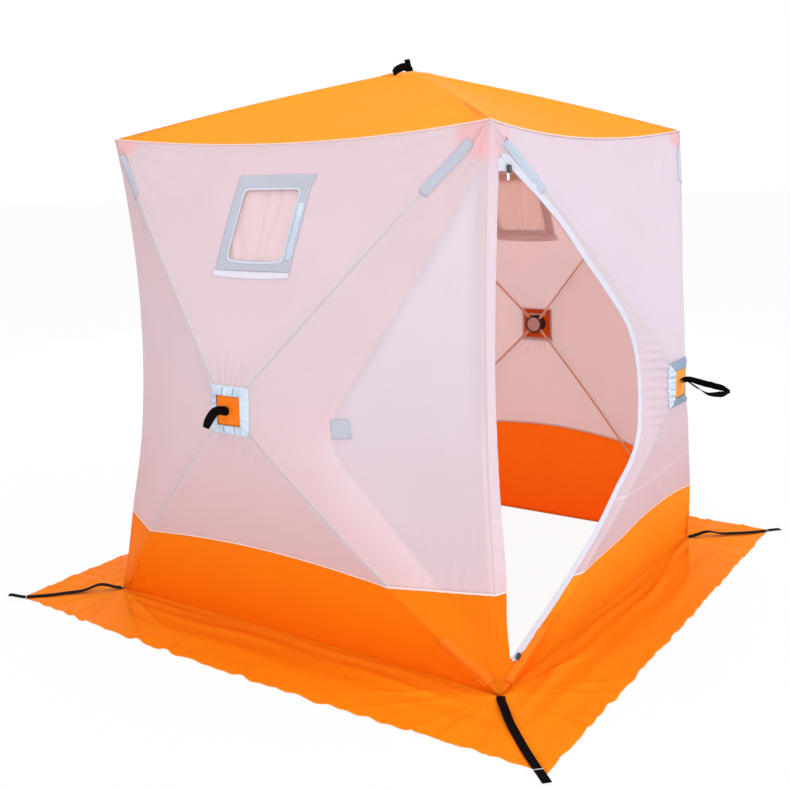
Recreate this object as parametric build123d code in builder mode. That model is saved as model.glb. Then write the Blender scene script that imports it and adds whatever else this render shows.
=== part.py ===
"""Pop-up ice fishing hut: a cloth cube held open by five sprung hubs.

Each wall and the roof is a shallow pyramid of sewn cloth. Four rods spread from a hub at its middle to
its four corners and push the hub outwards, so the cloth between the rods is pulled tight. The edges
between two faces have no rod, so the cloth draws them in as smooth bows.

The origin is on the ground under the middle of the hut, +Z is up, and the door wall faces -Y.
"""

import os
from math import cos, radians, sin, sqrt

from build123d import *

os.makedirs("parts", exist_ok=True)

# Driving dimensions of the hut, in millimetres
base_side = 1500.0  # between neighbouring foot corners
top_side = 1380.0  # between neighbouring eave corners
corner_height = 1530.0  # eave corners above the ground
roof_rise = 200.0  # roof hub above the eave corners
hub_pop = 240.0  # wall hubs outside the straight line from foot to eave
corner_bow = 80.0  # how far each upright corner edge is drawn in
eave_bow = 54.0  # how far each eave is drawn in and down
foot_bow = 4.0  # how far each foot edge is drawn in

# Cloth
cloth = 1.0
patch = 0.8
seam = 0.3  # room between a sewn patch and the cloth under it
band_height = 285.0
skirt_cloth = 1.5
skirt_width = 280.0
skirt_draw = 24.0  # skirt tips drawn back from the square corner, each way
skirt_hem = 12.0  # skirt turned in under the walls

# Hubs, rods and corner joints
cap_side = 85.0
hub_patch_side = 135.0
hub_lining_side = 122.0
hub_radius = 36.0
hub_depth = 42.0
hub_rim = 3.0
hub_disc_radius = 29.0
hub_disc = 2.0
hub_centre_depth = 22.0  # where the rods' lines cross, behind the cap
rod_radius = 4.25
ferrule_radius = 5.5
ferrule_length = 70.0
rod_start = 16.0  # from the crossing of the rods' lines to the rod's end
pin_radius = 1.8
pin_distance = 23.0
slot_width = 13.0
slot_height = 20.0
joint_ball = 15.0
joint_cone_angle = 32.0  # half angle of the pointed end, in degrees
joint_socket_radius = 7.5
joint_socket_length = 34.0
rod_end = 9.5  # from the ball's centre to the rod's end

# Door in the front wall, its zip, and its flap tied back inside the left wall
door_inset = 26.0
door_apex_radius = 352.0
door_corner_radius = 8.0
zip_tape = 12.0
zip_body = (11.0, 19.0, 5.0)
zip_pull = (8.0, 32.0, 1.6)
zip_round = 2.0
flap_edge_inset = 14.0
flap_top_share = 0.93
flap_foot_share = 0.08
flap_apex = (262.0, 705.0)
flap_apex_radius = 150.0
zip_closed = 36.0  # how far down from the opening's top corner the zip stays closed
zip_foot_run = 108.0  # from the foot corner up the rod's line to the lower slider
tie_patch = (52.0, 56.0)
tie_patch_centre = (314.0, 723.0)

# Windows in the left and right walls
window_opening = (208.0, 198.0)
window_frame = (278.0, 266.0)
window_height = 1268.0
window_frame_lift = 6.0  # the frame's top border is the wider
window_film = 0.8
film_overlap = 10.0
curtain_cloth = 1.0
curtain = (236.0, 236.0)

# Reinforcing strips along the rods and patches in the eave corners
strip_width = 25.0
strip_length = 168.0
strip_start = 74.0  # from the corner to the strip
corner_patch_radius = 100.0

# Webbing
webbing = 2.0
webbing_width = 25.0
side_strap_reach = 120.0
side_strap_droop = 52.0
door_strap_reach = 165.0
door_strap_droop = 26.0
roof_strap_reach = 58.0
roof_strap_droop = 46.0
roof_strap_turn = 180.0  # which way the roof strap flops over, in degrees
strap_neck = 9.0  # half height of the strap's loop beside its hub
strap_belly = 15.0  # half height of the loop where it is widest
# Each point of a strap's loop as shares of its reach, its belly and its droop
strap_path_shares = (
    (0.40, 0.90, 0.12),
    (0.72, 1.00, 0.45),
    (0.93, 0.62, 0.86),
    (1.00, 0.00, 1.00),
    (0.90, -0.66, 0.98),
    (0.66, -1.00, 0.68),
    (0.34, -0.88, 0.24),
)
guy_arch = 16.0
guy_arch_length = 150.0
guy_tail = 46.0  # webbing past the skirt's tip

clearance = 0.3
overrun = 400.0  # how far cutting shapes run past what they cut

# Places that follow from the sizes above
root2 = sqrt(2)
half_base = base_side / 2
half_top = top_side / 2
half_cap = cap_side / 2
foot = skirt_cloth  # the walls stand on the skirt
hub_height = (foot + corner_height) / 2
hub_reach = (half_base + half_top) / 2 + hub_pop
roof_height = corner_height + roof_rise
skirt_reach = half_base + skirt_width
patch_low = cloth + seam  # sewn patches lie on the outside of the cloth
patch_high = patch_low + patch
lining = (-seam - patch, -seam)  # and the corner patches on its inside
skirt_tip = skirt_reach - skirt_draw
walls = {"front": 0, "right": 90, "back": 180, "left": 270}
window_walls = ("left", "right")


def save(part, label):
    """Names a finished piece and writes it."""
    part.label = label
    export_step(part, f"parts/{label}.step")


def turned(part, turn):
    """The front wall's piece carried round the hut's upright axis to another wall."""
    with BuildPart() as copy:
        add(part, rotation=(0, 0, turn))
    return copy.part


def all_round(part):
    """The front wall's piece repeated on all four walls."""
    with BuildPart() as ring:
        for turn in walls.values():
            add(part, rotation=(0, 0, turn))
    return ring.part


# Cloth panels: a layer of the skin from one height above its inner face to another


def bowed_strip(plane, inner, outer):
    """A thin strip between two arcs, each given by its start, middle and end."""
    with BuildSketch(plane) as strip:
        with BuildLine():
            inside = ThreePointArc(*inner)
            outside = ThreePointArc(*outer)
            Line(inside @ 0, outside @ 0)
            Line(inside @ 1, outside @ 1)
        make_face()
    return strip.sketch


def straight_strip(plane, inner, outer):
    """A thin strip between two straight lines, each given by its start and end."""
    with BuildSketch(plane) as strip:
        with BuildLine():
            inside = Line(*inner)
            outside = Line(*outer)
            Line(inside @ 0, outside @ 0)
            Line(inside @ 1, outside @ 1)
        make_face()
    return strip.sketch


def stretched(hub_strip, edge_strip):
    """Cloth pulled straight from the side of a hub's square to a bowed edge."""
    with BuildPart() as panel:
        loft(sections=[hub_strip, edge_strip], ruled=True)
    return panel.part


def eave_strip(low, high):
    """Section of the skin along the front eave, in the plane that halves the eave's angle."""
    plane = Plane(origin=(0, -half_top, corner_height), x_dir=(1, 0, 0), z_dir=(0, -1, -1))

    def arc(layer):
        end = half_top + layer
        rise = layer * root2
        return (-end, rise), (0, rise - eave_bow), (end, rise)

    return bowed_strip(plane, arc(low), arc(high))


def corner_strip(side, low, high):
    """Section of the skin along the front wall's upright edge on the side -1 or +1."""
    plane = Plane(origin=(0, 0, 0), x_dir=(side, -1, 0), z_dir=(-1, -side, 0))

    def arc(layer):
        start = (half_base + layer) * root2
        end = (half_top + layer) * root2
        top = corner_height + layer
        return (start, foot), ((start + end) / 2 - corner_bow, (foot + top) / 2), (end, top)

    return bowed_strip(plane, arc(low), arc(high))


def foot_strip(low, high):
    """Section of the skin along the front wall's foot, on the skirt."""

    def arc(layer):
        end = half_base + layer
        return (-end, -end), (0, foot_bow - end), (end, -end)

    return bowed_strip(Plane.XY.offset(foot), arc(low), arc(high))


def level_hub_strip(height, low, high):
    """Section of the skin along the upper or lower side of the front hub's square."""

    def line(layer):
        return (-half_cap, -hub_reach - layer), (half_cap, -hub_reach - layer)

    return straight_strip(Plane.XY.offset(height), line(low), line(high))


def upright_hub_strip(side, low, high):
    """Section of the skin along the left or right side of the front hub's square."""
    plane = Plane(origin=(side * half_cap, 0, 0), x_dir=(0, -1, 0), z_dir=(-1, 0, 0))

    def line(layer):
        reach = hub_reach + layer
        return (reach, hub_height - half_cap), (reach, hub_height + half_cap)

    return straight_strip(plane, line(low), line(high))


def roof_hub_strip(low, high):
    """Section of the skin along the front side of the roof hub's square."""
    plane = Plane(origin=(0, -half_cap, 0), x_dir=(1, 0, 0), z_dir=(0, -1, 0))

    def line(layer):
        height = roof_height + layer
        return (-half_cap, height), (half_cap, height)

    return straight_strip(plane, line(low), line(high))


def top_layer(low, high):
    return stretched(level_hub_strip(hub_height + half_cap, low, high), eave_strip(low, high))


def side_layer(side, low, high):
    return stretched(upright_hub_strip(side, low, high), corner_strip(side, low, high))


def lower_layer(low, high):
    return stretched(level_hub_strip(hub_height - half_cap, low, high), foot_strip(low, high))


def roof_layer(low, high):
    return stretched(roof_hub_strip(low, high), eave_strip(low, high))


def through_wall(sketch):
    """A prism through the front wall from a sketch drawn in front view."""
    with BuildPart() as prism:
        extrude(sketch, amount=hub_reach + overrun)
    return prism.part


def front_rectangle(centre, size, angle=0.0):
    """A prism through the front wall with a rectangular outline, turned by an angle in degrees."""
    with BuildSketch(Plane.XZ) as outline:
        with Locations(Location((*centre, 0), (0, 0, angle))):
            Rectangle(*size)
    return through_wall(outline.sketch)


def bordered(layer, outline, hole=None):
    """The part of a cloth layer inside one outline and outside another."""
    with BuildPart() as piece:
        add(layer)
        add(outline, mode=Mode.INTERSECT)
        if hole is not None:
            add(hole, mode=Mode.SUBTRACT)
    return piece.part


# Door: the front wall's left panel inset on all sides, with its point rounded off


def door_outline(grow):
    """The door opening in front view, larger on all sides by grow."""
    edge_middle = ((half_base + half_top) / 2 - corner_bow / root2, hub_height)
    with BuildSketch(Plane.XZ) as outline:
        with BuildLine():
            upper = Line((-half_top, corner_height), (0, hub_height))
            lower = Line(upper @ 1, (-half_base, foot))
            ThreePointArc(lower @ 1, (-edge_middle[0], edge_middle[1]), upper @ 0)
        make_face()
        offset(amount=-door_inset, kind=Kind.INTERSECTION, mode=Mode.REPLACE)
        corners = outline.vertices().sort_by(Axis.X)
        fillet(corners[:-1], door_corner_radius)
        fillet(outline.vertices().sort_by(Axis.X)[-1], door_apex_radius)
        if grow:
            offset(amount=grow, mode=Mode.REPLACE)
    return through_wall(outline.sketch)


door = door_outline(0)
door_tape_edge = door_outline(zip_tape)
window = front_rectangle((0, window_height), window_opening)

# White wall cloth above the coloured band, and the band along the foot
band_level = Plane.XY.offset(band_height)
top_cloth = top_layer(0, cloth)
side_cloth = {side: side_layer(side, 0, cloth) for side in (-1, 1)}
lower_cloth = lower_layer(0, cloth)

with BuildPart() as door_cloth:
    add(side_cloth[-1])
    add(door, mode=Mode.SUBTRACT)

with BuildPart() as window_cloth:
    add(top_cloth)
    add(window, mode=Mode.SUBTRACT)


def above_band(part):
    with BuildPart() as upper:
        add(part)
        split(bisect_by=band_level, keep=Keep.TOP)
    return upper.part


def below_band(*parts):
    with BuildPart() as lower:
        for part in parts:
            add(part)
        split(bisect_by=band_level, keep=Keep.BOTTOM)
    return lower.part


with BuildPart() as both_sides:
    add(above_band(side_cloth[-1]))
    add(above_band(side_cloth[1]))

save(above_band(door_cloth.part), "front_wall_door_surround")
save(above_band(side_cloth[1]), "front_wall_side_panel")
for wall, turn in walls.items():
    top_panel = window_cloth.part if wall in window_walls else top_cloth
    save(turned(top_panel, turn), f"{wall}_wall_top_panel")
    save(turned(above_band(lower_cloth), turn), f"{wall}_wall_lower_panel")
    if wall != "front":
        save(turned(both_sides.part, turn), f"{wall}_wall_side_panels")
    left_end = door_cloth.part if wall == "front" else side_cloth[-1]
    save(turned(below_band(lower_cloth, left_end, side_cloth[1]), turn), f"{wall}_wall_band")

# Roof panels
roof_cloth = roof_layer(0, cloth)
for wall, turn in walls.items():
    save(turned(roof_cloth, turn), f"roof_{wall}_panel")

# Ground skirt: one mitred flap along each foot edge, turned in under the wall
with BuildPart() as skirt:
    with BuildSketch():
        with BuildLine():
            hem = half_base - skirt_hem
            inner = ThreePointArc((-hem, -hem), (0, foot_bow - hem), (hem, -hem))
            outer = ThreePointArc((-skirt_tip, -skirt_tip), (0, -skirt_reach), (skirt_tip, -skirt_tip))
            Line(inner @ 0, outer @ 0)
            Line(inner @ 1, outer @ 1)
        make_face()
    extrude(amount=skirt_cloth)
for wall, turn in walls.items():
    save(turned(skirt.part, turn), f"{wall}_skirt")

# Reinforcing layer on the outside of a wall: hub patch, strips along the rods
with BuildPart() as outer_patch_layer:
    for layer in (
        top_layer(patch_low, patch_high),
        lower_layer(patch_low, patch_high),
        side_layer(-1, patch_low, patch_high),
        side_layer(1, patch_low, patch_high),
    ):
        add(layer)


def rod_strips(corner):
    """Prisms for the two strips along the rods to a wall's upper or lower corners."""
    prisms = []
    hub_corner = Vector(half_cap, hub_height + (half_cap if corner.Y > hub_height else -half_cap))
    along = (hub_corner - corner).normalized()
    middle = corner + along * (strip_start + strip_length / 2)
    tilt = Vector(1, 0, 0).get_signed_angle(along, Vector(0, 0, 1))
    for side in (-1, 1):
        prisms.append(front_rectangle((side * middle.X, middle.Y), (strip_length, strip_width), side * tilt))
    return prisms


def strips_on_wall(corner):
    with BuildPart() as strips:
        for prism in rod_strips(corner):
            add(bordered(outer_patch_layer.part, prism))
    return strips.part


upper_strips = strips_on_wall(Vector(half_top, corner_height))
lower_strips = strips_on_wall(Vector(half_base, foot))
tie = bordered(side_layer(1, patch_low, patch_high), front_rectangle(tie_patch_centre, tie_patch))
with BuildPart() as grey_strips:
    add(all_round(upper_strips))
    add(turned(tie, walls["left"]))
save(grey_strips.part, "upper_corner_strips")
save(all_round(lower_strips), "lower_corner_strips")

# Hub squares: a cap that closes the cloth, with a gathered patch sewn round it
patch_outline = front_rectangle((0, hub_height), (hub_patch_side, hub_patch_side))
wall_patch = bordered(outer_patch_layer.part, patch_outline)
with BuildPart() as roof_patch_layer:
    for turn in walls.values():
        add(roof_layer(patch_low, patch_high), rotation=(0, 0, turn))
with BuildPart() as hub_patches:
    add(all_round(wall_patch))
    with BuildPart(mode=Mode.PRIVATE) as roof_patch:
        add(roof_patch_layer.part)
        with BuildSketch():
            Rectangle(hub_patch_side, hub_patch_side)
        extrude(amount=roof_height + overrun, mode=Mode.INTERSECT)
    add(roof_patch.part)
save(hub_patches.part, "hub_patches")

# Squares of coloured cloth sewn inside round each hub
lining_outline = front_rectangle((0, hub_height), (hub_lining_side, hub_lining_side))
with BuildPart() as inner_patch_layer:
    for layer in (top_layer(*lining), lower_layer(*lining), side_layer(-1, *lining), side_layer(1, *lining)):
        add(layer)
wall_lining = bordered(inner_patch_layer.part, lining_outline)
with BuildPart() as roof_lining:
    for turn in walls.values():
        add(roof_layer(*lining), rotation=(0, 0, turn))
    with BuildSketch():
        Rectangle(hub_lining_side, hub_lining_side)
    extrude(amount=roof_height + overrun, mode=Mode.INTERSECT)
with BuildPart() as hub_linings:
    add(all_round(wall_lining))
    add(roof_lining.part)
save(hub_linings.part, "hub_linings")

wall_hub_plane = Plane(origin=(0, -hub_reach, hub_height), x_dir=(1, 0, 0), z_dir=(0, -1, 0))
roof_hub_plane = Plane(origin=(0, 0, roof_height), x_dir=(1, 0, 0), z_dir=(0, 0, 1))


def hub_cap(plane):
    with BuildPart() as cap:
        with BuildSketch(plane):
            Rectangle(cap_side, cap_side)
        extrude(amount=cloth)
    return cap.part


with BuildPart() as hub_caps:
    add(all_round(hub_cap(wall_hub_plane)))
    add(hub_cap(roof_hub_plane))
save(hub_caps.part, "hub_caps")

# Corner joints: pointed caps that sit in the cloth corners and take the rods' ends
joint_point = (seam + patch) * sqrt(3) + 2 * clearance
joint_offset = joint_point + joint_ball / sin(radians(joint_cone_angle))


def joint_centre(corner, lift):
    """Ball centre of the joint in a corner of the skin, lift is -1 at the eaves and +1 at the foot."""
    inward = Vector(-corner.X, -corner.Y, 0).normalized() * root2 + Vector(0, 0, lift)
    return corner + inward.normalized() * joint_offset


def hub_centre(plane):
    return plane.origin - plane.z_dir * hub_centre_depth


eave_corner = Vector(-half_top, -half_top, corner_height)
foot_corner = Vector(-half_base, -half_base, foot)
eave_joint = joint_centre(eave_corner, -1)
foot_joint = joint_centre(foot_corner, 1)
front_hub = hub_centre(wall_hub_plane)
left_hub = front_hub.rotate(Axis.Z, walls["left"])
roof_hub = hub_centre(roof_hub_plane)


def corner_joint(corner, centre, hubs):
    """A ball with a point towards the cloth corner and a bored socket for each rod."""
    point = corner + (centre - corner).normalized() * joint_point
    taper_start = joint_ball * sin(radians(joint_cone_angle))
    taper_radius = joint_ball * cos(radians(joint_cone_angle))
    axis_plane = Plane(origin=centre, x_dir=Vector(-corner.Y, corner.X, 0), z_dir=point - centre)
    with BuildPart() as joint:
        with BuildSketch(Plane(origin=centre, x_dir=axis_plane.x_dir, z_dir=-axis_plane.y_dir)):
            with BuildLine():
                rear = (0, -joint_ball)
                shoulder = (taper_radius, taper_start)
                tip = (0, (point - centre).length)
                ball = ThreePointArc(rear, (joint_ball, 0), shoulder)
                Line(ball @ 1, tip)
                Line(tip, rear)
            make_face()
        revolve(axis=Axis(centre, axis_plane.z_dir))
        for hub in hubs:
            rod_line = Plane(origin=centre, z_dir=hub - centre)
            with BuildSketch(rod_line):
                Circle(joint_socket_radius)
            extrude(amount=joint_socket_length)
        for hub in hubs:
            rod_line = Plane(origin=centre, z_dir=hub - centre)
            with BuildSketch(rod_line.offset(rod_end)):
                Circle(rod_radius + clearance)
            extrude(amount=joint_socket_length, mode=Mode.SUBTRACT)
    return joint.part


with BuildPart() as corner_joints:
    add(all_round(corner_joint(eave_corner, eave_joint, (front_hub, left_hub, roof_hub))))
    add(all_round(corner_joint(foot_corner, foot_joint, (front_hub, left_hub))))
save(corner_joints.part, "corner_joints")

# Rods: a ferrule with an eye on the hub's pin, and a plain end in the corner joint


def pin_axis(plane, tip):
    """Line of the pin that holds a rod in its hub: across the rod, level with the hub's face."""
    centre = hub_centre(plane)
    along = (tip - centre).normalized()
    return Plane(origin=centre + along * pin_distance, z_dir=plane.z_dir.cross(along))


def rod(plane, tip):
    centre = hub_centre(plane)
    line = Plane(origin=centre, z_dir=tip - centre)
    with BuildPart() as piece:
        with BuildSketch(line.offset(rod_start)):
            Circle(ferrule_radius)
        extrude(amount=ferrule_length)
        with BuildSketch(line.offset(rod_start)):
            Circle(rod_radius)
        extrude(amount=(tip - centre).length - rod_end - rod_start)
        with BuildSketch(pin_axis(plane, tip)):
            Circle(pin_radius + clearance)
        extrude(amount=slot_width, both=True, mode=Mode.SUBTRACT)
    return piece.part


def mirrored(point):
    return Vector(-point.X, point.Y, point.Z)


wall_tips = [eave_joint, mirrored(eave_joint), foot_joint, mirrored(foot_joint)]
roof_tips = [eave_joint.rotate(Axis.Z, turn) for turn in walls.values()]
with BuildPart() as front_rods:
    for tip in wall_tips:
        add(rod(wall_hub_plane, tip))
save(all_round(front_rods.part), "wall_rods")
with BuildPart() as roof_rods:
    for tip in roof_tips:
        add(rod(roof_hub_plane, tip))
save(roof_rods.part, "roof_rods")

# Hubs: a moulded cup with a slot and a pin for each rod, and a disc set in its inner face


def hub(plane, tips):
    centre = hub_centre(plane)
    inner_face = plane.offset(-hub_depth)
    with BuildPart() as cup:
        with BuildSketch(inner_face):
            Circle(hub_radius)
        extrude(amount=hub_depth)
        fillet(cup.edges().sort_by(Axis(plane.origin, plane.z_dir))[0], hub_rim)
        with BuildSketch(inner_face):
            Circle(hub_disc_radius + clearance)
        extrude(amount=hub_disc, mode=Mode.SUBTRACT)
        for tip in tips:
            line = Plane(origin=centre, x_dir=plane.z_dir.cross(tip - centre), z_dir=tip - centre)
            with BuildSketch(line.offset(rod_start - 2 * clearance)):
                Rectangle(slot_width, slot_height)
            extrude(amount=hub_radius + ferrule_length, mode=Mode.SUBTRACT)
            with BuildSketch(pin_axis(plane, tip)):
                Circle(pin_radius)
            extrude(amount=slot_width / 2 + pin_radius, both=True)
    return cup.part


def hub_face_disc(plane):
    with BuildPart() as disc:
        with BuildSketch(plane.offset(-hub_depth)):
            Circle(hub_disc_radius)
        extrude(amount=hub_disc)
    return disc.part


with BuildPart() as hubs:
    add(all_round(hub(wall_hub_plane, wall_tips)))
    add(hub(roof_hub_plane, roof_tips))
save(hubs.part, "hubs")
with BuildPart() as hub_discs:
    add(all_round(hub_face_disc(wall_hub_plane)))
    add(hub_face_disc(roof_hub_plane))
save(hub_discs.part, "hub_discs")

# Pull straps: a webbing loop on the outside of every hub


def pull_strap(plane, reach, droop):
    side_view = Plane(
        origin=plane.origin + plane.z_dir * cloth, x_dir=plane.z_dir, z_dir=plane.z_dir.cross(plane.y_dir)
    )

    def loop(inset):
        neck = strap_neck - inset
        belly = strap_belly - inset
        bends = [((reach - inset) * x, belly * y - droop * z) for x, y, z in strap_path_shares]
        with BuildLine(mode=Mode.PRIVATE) as path:
            curve = Spline((inset, neck), *bends, (inset, -neck))
            Line(curve @ 1, curve @ 0)
        return path.line

    with BuildPart() as strap:
        with BuildSketch(side_view):
            make_face(loop(0).edges())
            make_face(loop(webbing).edges(), mode=Mode.SUBTRACT)
        extrude(amount=webbing_width / 2, both=True)
    return strap.part


door_strap = pull_strap(wall_hub_plane, door_strap_reach, door_strap_droop)
side_strap = pull_strap(wall_hub_plane, side_strap_reach, side_strap_droop)
with BuildPart() as wall_straps:
    for wall, turn in walls.items():
        add(side_strap if wall in window_walls else door_strap, rotation=(0, 0, turn))
save(wall_straps.part, "wall_pull_straps")
roof_strap = pull_strap(roof_hub_plane, roof_strap_reach, roof_strap_droop)
save(turned(roof_strap, roof_strap_turn), "roof_pull_strap")

# Guy straps: webbing sewn along each skirt mitre, with a slack arch by the wall and a free tail
with BuildPart() as guy_strap:
    with BuildSketch(Plane(origin=(0, 0, 0), x_dir=(-1, -1, 0), z_dir=(-1, 1, 0))):
        with BuildLine():
            start = (half_base + cloth) * root2 + clearance
            landing = start + guy_arch_length
            end = skirt_tip * root2 + guy_tail
            arch_middle = start + guy_arch_length / 2
            under = ThreePointArc((start, foot), (arch_middle, foot + guy_arch), (landing, foot))
            top = foot + webbing
            over = ThreePointArc((start, top), (arch_middle, top + guy_arch), (landing, top))
            Line(under @ 0, over @ 0)
            Polyline(under @ 1, (end, foot), (end, top), over @ 1)
        make_face()
    extrude(amount=webbing_width / 2, both=True)
save(all_round(guy_strap.part), "corner_straps")

# Windows: a sewn frame outside, clear film inside, and a curtain behind the film
film_size = [length + 2 * film_overlap for length in window_opening]
frame_outline = front_rectangle((0, window_height + window_frame_lift), window_frame)
frame = bordered(top_layer(patch_low, patch_high), frame_outline, window)
film = bordered(top_layer(-seam - window_film, -seam), front_rectangle((0, window_height), film_size))
curtain_layer = top_layer(-2 * seam - window_film - curtain_cloth, -2 * seam - window_film)
drape = bordered(curtain_layer, front_rectangle((0, window_height), curtain))


def on_window_walls(part):
    with BuildPart() as pair:
        for wall in window_walls:
            add(part, rotation=(0, 0, walls[wall]))
    return pair.part


save(on_window_walls(frame), "window_frames")
save(on_window_walls(film), "window_films")
save(on_window_walls(drape), "window_curtains")

# Patches inside the eave corners, over the points of the corner joints
with BuildPart() as corner_patch:
    for layer in (top_layer(*lining), roof_layer(*lining), side_layer(-1, *lining)):
        add(layer)
    for layer in (top_layer(*lining), roof_layer(*lining), side_layer(1, *lining)):
        add(layer, rotation=(0, 0, walls["left"]))
    with Locations(eave_corner):
        Sphere(corner_patch_radius, mode=Mode.INTERSECT)
save(all_round(corner_patch.part), "eave_corner_patches")

# Door zip: tape along the two slanting sides of the opening, closed in its top corner, and a slider at each end
closed_level = Plane.XY.offset(door.bounding_box().max.Z - zip_closed)
with BuildPart() as closed_corner:
    add(door)
    split(bisect_by=closed_level, keep=Keep.TOP)
with BuildPart() as open_door:
    add(door)
    split(bisect_by=closed_level, keep=Keep.BOTTOM)
with BuildSketch(Plane.XZ) as hinge_hem:
    with BuildLine():
        edge_middle = ((half_base + half_top) / 2 - corner_bow / root2, hub_height)
        ThreePointArc((-half_base, foot), (-edge_middle[0], edge_middle[1]), (-half_top, corner_height))
    trace(line_width=2 * (door_inset + seam))
with BuildPart() as tape:
    add(bordered(side_layer(-1, patch_low, patch_high), door_tape_edge, open_door.part))
    add(through_wall(hinge_hem.sketch), mode=Mode.SUBTRACT)
save(tape.part, "door_zip_tape")


def zip_slider(spot, along):
    """A slider on the tape at a point in front view, with its body along a line and its pull hanging."""
    sight = Axis((spot.X, -hub_reach - overrun, spot.Y), (0, 1, 0))
    point, normal = min(tape.part.find_intersection_points(sight), key=lambda hit: hit[0].Y)
    outward = normal if normal.Y < 0 else -normal
    seat = Plane(origin=point + outward * clearance, x_dir=Vector(0, 0, 1).cross(outward), z_dir=outward)
    lean = Vector(0, 1, 0).get_signed_angle(along, Vector(0, 0, 1))
    with BuildPart() as slider:
        with BuildSketch(seat):
            with Locations(Location((0, 0, 0), (0, 0, lean))):
                RectangleRounded(zip_body[0], zip_body[1], zip_round)
        extrude(amount=zip_body[2])
        with BuildSketch(seat.offset(zip_body[2])):
            with Locations((0, -zip_pull[1] / 2 + zip_pull[0] / 2)):
                RectangleRounded(zip_pull[0], zip_pull[1], zip_round)
        extrude(amount=zip_pull[2])
    return slider.part


hub_point = Vector(0, hub_height)
eave_point, foot_point = Vector(-half_top, corner_height), Vector(-half_base, foot)
down_leg, up_leg = (hub_point - eave_point).normalized(), (hub_point - foot_point).normalized()
into_door = Vector(-up_leg.Y, up_leg.X)
top_spot = Vector(closed_corner.part.bounding_box().center().X, closed_level.origin.Z + zip_body[0] / 2)
with BuildPart() as zip_sliders:
    add(zip_slider(top_spot, down_leg))
    add(zip_slider(foot_point + up_leg * zip_foot_run + into_door * (door_inset - zip_tape / 2), up_leg))
save(zip_sliders.part, "zip_sliders")


# Door flap: the cut-out panel swung inside and tied flat against the left wall's cloth


def corner_edge(share):
    """Point of a bowed upright edge in front view, at a share of its height."""
    straight = half_base + (half_top - half_base) * share
    drawn_in = corner_bow / root2 * 4 * share * (1 - share)
    return Vector(straight - drawn_in - flap_edge_inset, foot + (corner_height - foot) * share)


with BuildSketch(Plane.XZ) as flap_outline:
    with BuildLine():
        shares = (flap_foot_share, (flap_top_share + flap_foot_share) / 2, flap_top_share)
        hinge = ThreePointArc(*[corner_edge(share) for share in shares])
        Polyline(hinge @ 1, flap_apex, hinge @ 0)
    make_face()
    fillet(flap_outline.vertices().sort_by(Axis.X)[0], flap_apex_radius)
flap = bordered(side_layer(1, -clearance - cloth, -clearance), through_wall(flap_outline.sketch))
save(turned(flap, walls["left"]), "door_flap")
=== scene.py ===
import bmesh
import bpy
import numpy as np
from mathutils import Matrix


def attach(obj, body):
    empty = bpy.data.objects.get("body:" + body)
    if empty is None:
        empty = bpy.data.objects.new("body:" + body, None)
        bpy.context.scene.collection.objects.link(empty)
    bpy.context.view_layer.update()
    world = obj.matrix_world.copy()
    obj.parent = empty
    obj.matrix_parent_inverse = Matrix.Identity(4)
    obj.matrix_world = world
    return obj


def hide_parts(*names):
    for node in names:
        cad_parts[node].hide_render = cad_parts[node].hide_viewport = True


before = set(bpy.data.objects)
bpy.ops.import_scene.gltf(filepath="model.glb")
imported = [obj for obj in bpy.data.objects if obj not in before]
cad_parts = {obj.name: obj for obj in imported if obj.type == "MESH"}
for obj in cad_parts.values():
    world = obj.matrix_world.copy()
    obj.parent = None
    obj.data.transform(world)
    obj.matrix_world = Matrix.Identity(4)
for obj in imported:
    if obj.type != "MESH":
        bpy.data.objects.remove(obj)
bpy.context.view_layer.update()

scene = bpy.context.scene
scene.view_settings.view_transform = "Standard"


# Studio: a pale floor under the hut, a white surround, and soft light from above and from both sides
# of the camera. The floor shows white to the camera and keeps a faint shadow of the hut.
def add_node(tree, kind, settings=None, **inputs):
    """New shader node with its settings; inputs, named with _ for a space, take values or other sockets."""
    node = tree.nodes.new(f"ShaderNode{kind}")
    for name, value in (settings or {}).items():
        setattr(node, name, value)
    for name, value in inputs.items():
        feed(tree, node.inputs[name.replace("_", " ")], value)
    return node


def feed(tree, socket, value):
    """Links an input to another socket, or sets it to a number, a vector or a colour."""
    if isinstance(value, bpy.types.NodeSocket):
        tree.links.new(value, socket)
    else:
        socket.default_value = (*value, 1) if socket.type == "RGBA" else value


def reckon(tree, kind, *values):
    """Socket of a Math node that works on sockets or plain numbers."""
    node = add_node(tree, "Math", {"operation": kind})
    for socket, value in zip(node.inputs, values):
        feed(tree, socket, value)
    return node.outputs[0]


def mixed(tree, share, first, second):
    """Shader socket: two shaders, mixed by the share of the second."""
    node = add_node(tree, "MixShader", Fac=share)
    tree.links.new(first.outputs[0], node.inputs[1])
    tree.links.new(second.outputs[0], node.inputs[2])
    return node.outputs[0]


def new_material(name):
    """A new material and its node tree, emptied."""
    material = bpy.data.materials.new(name)
    material.use_nodes = True
    material.node_tree.nodes.clear()
    return material, material.node_tree


def seen_directly(tree):
    """1 for rays from the camera, a mirror or through glass, and 0 for the rays that carry light."""
    ray_kinds = ("Camera", "Glossy", "Transmission")
    path = add_node(tree, "LightPath")
    camera_ray, mirror_ray, glass_ray = (path.outputs[f"Is {kind} Ray"] for kind in ray_kinds)
    return reckon(tree, "MAXIMUM", reckon(tree, "MAXIMUM", camera_ray, mirror_ray), glass_ray)


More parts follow.
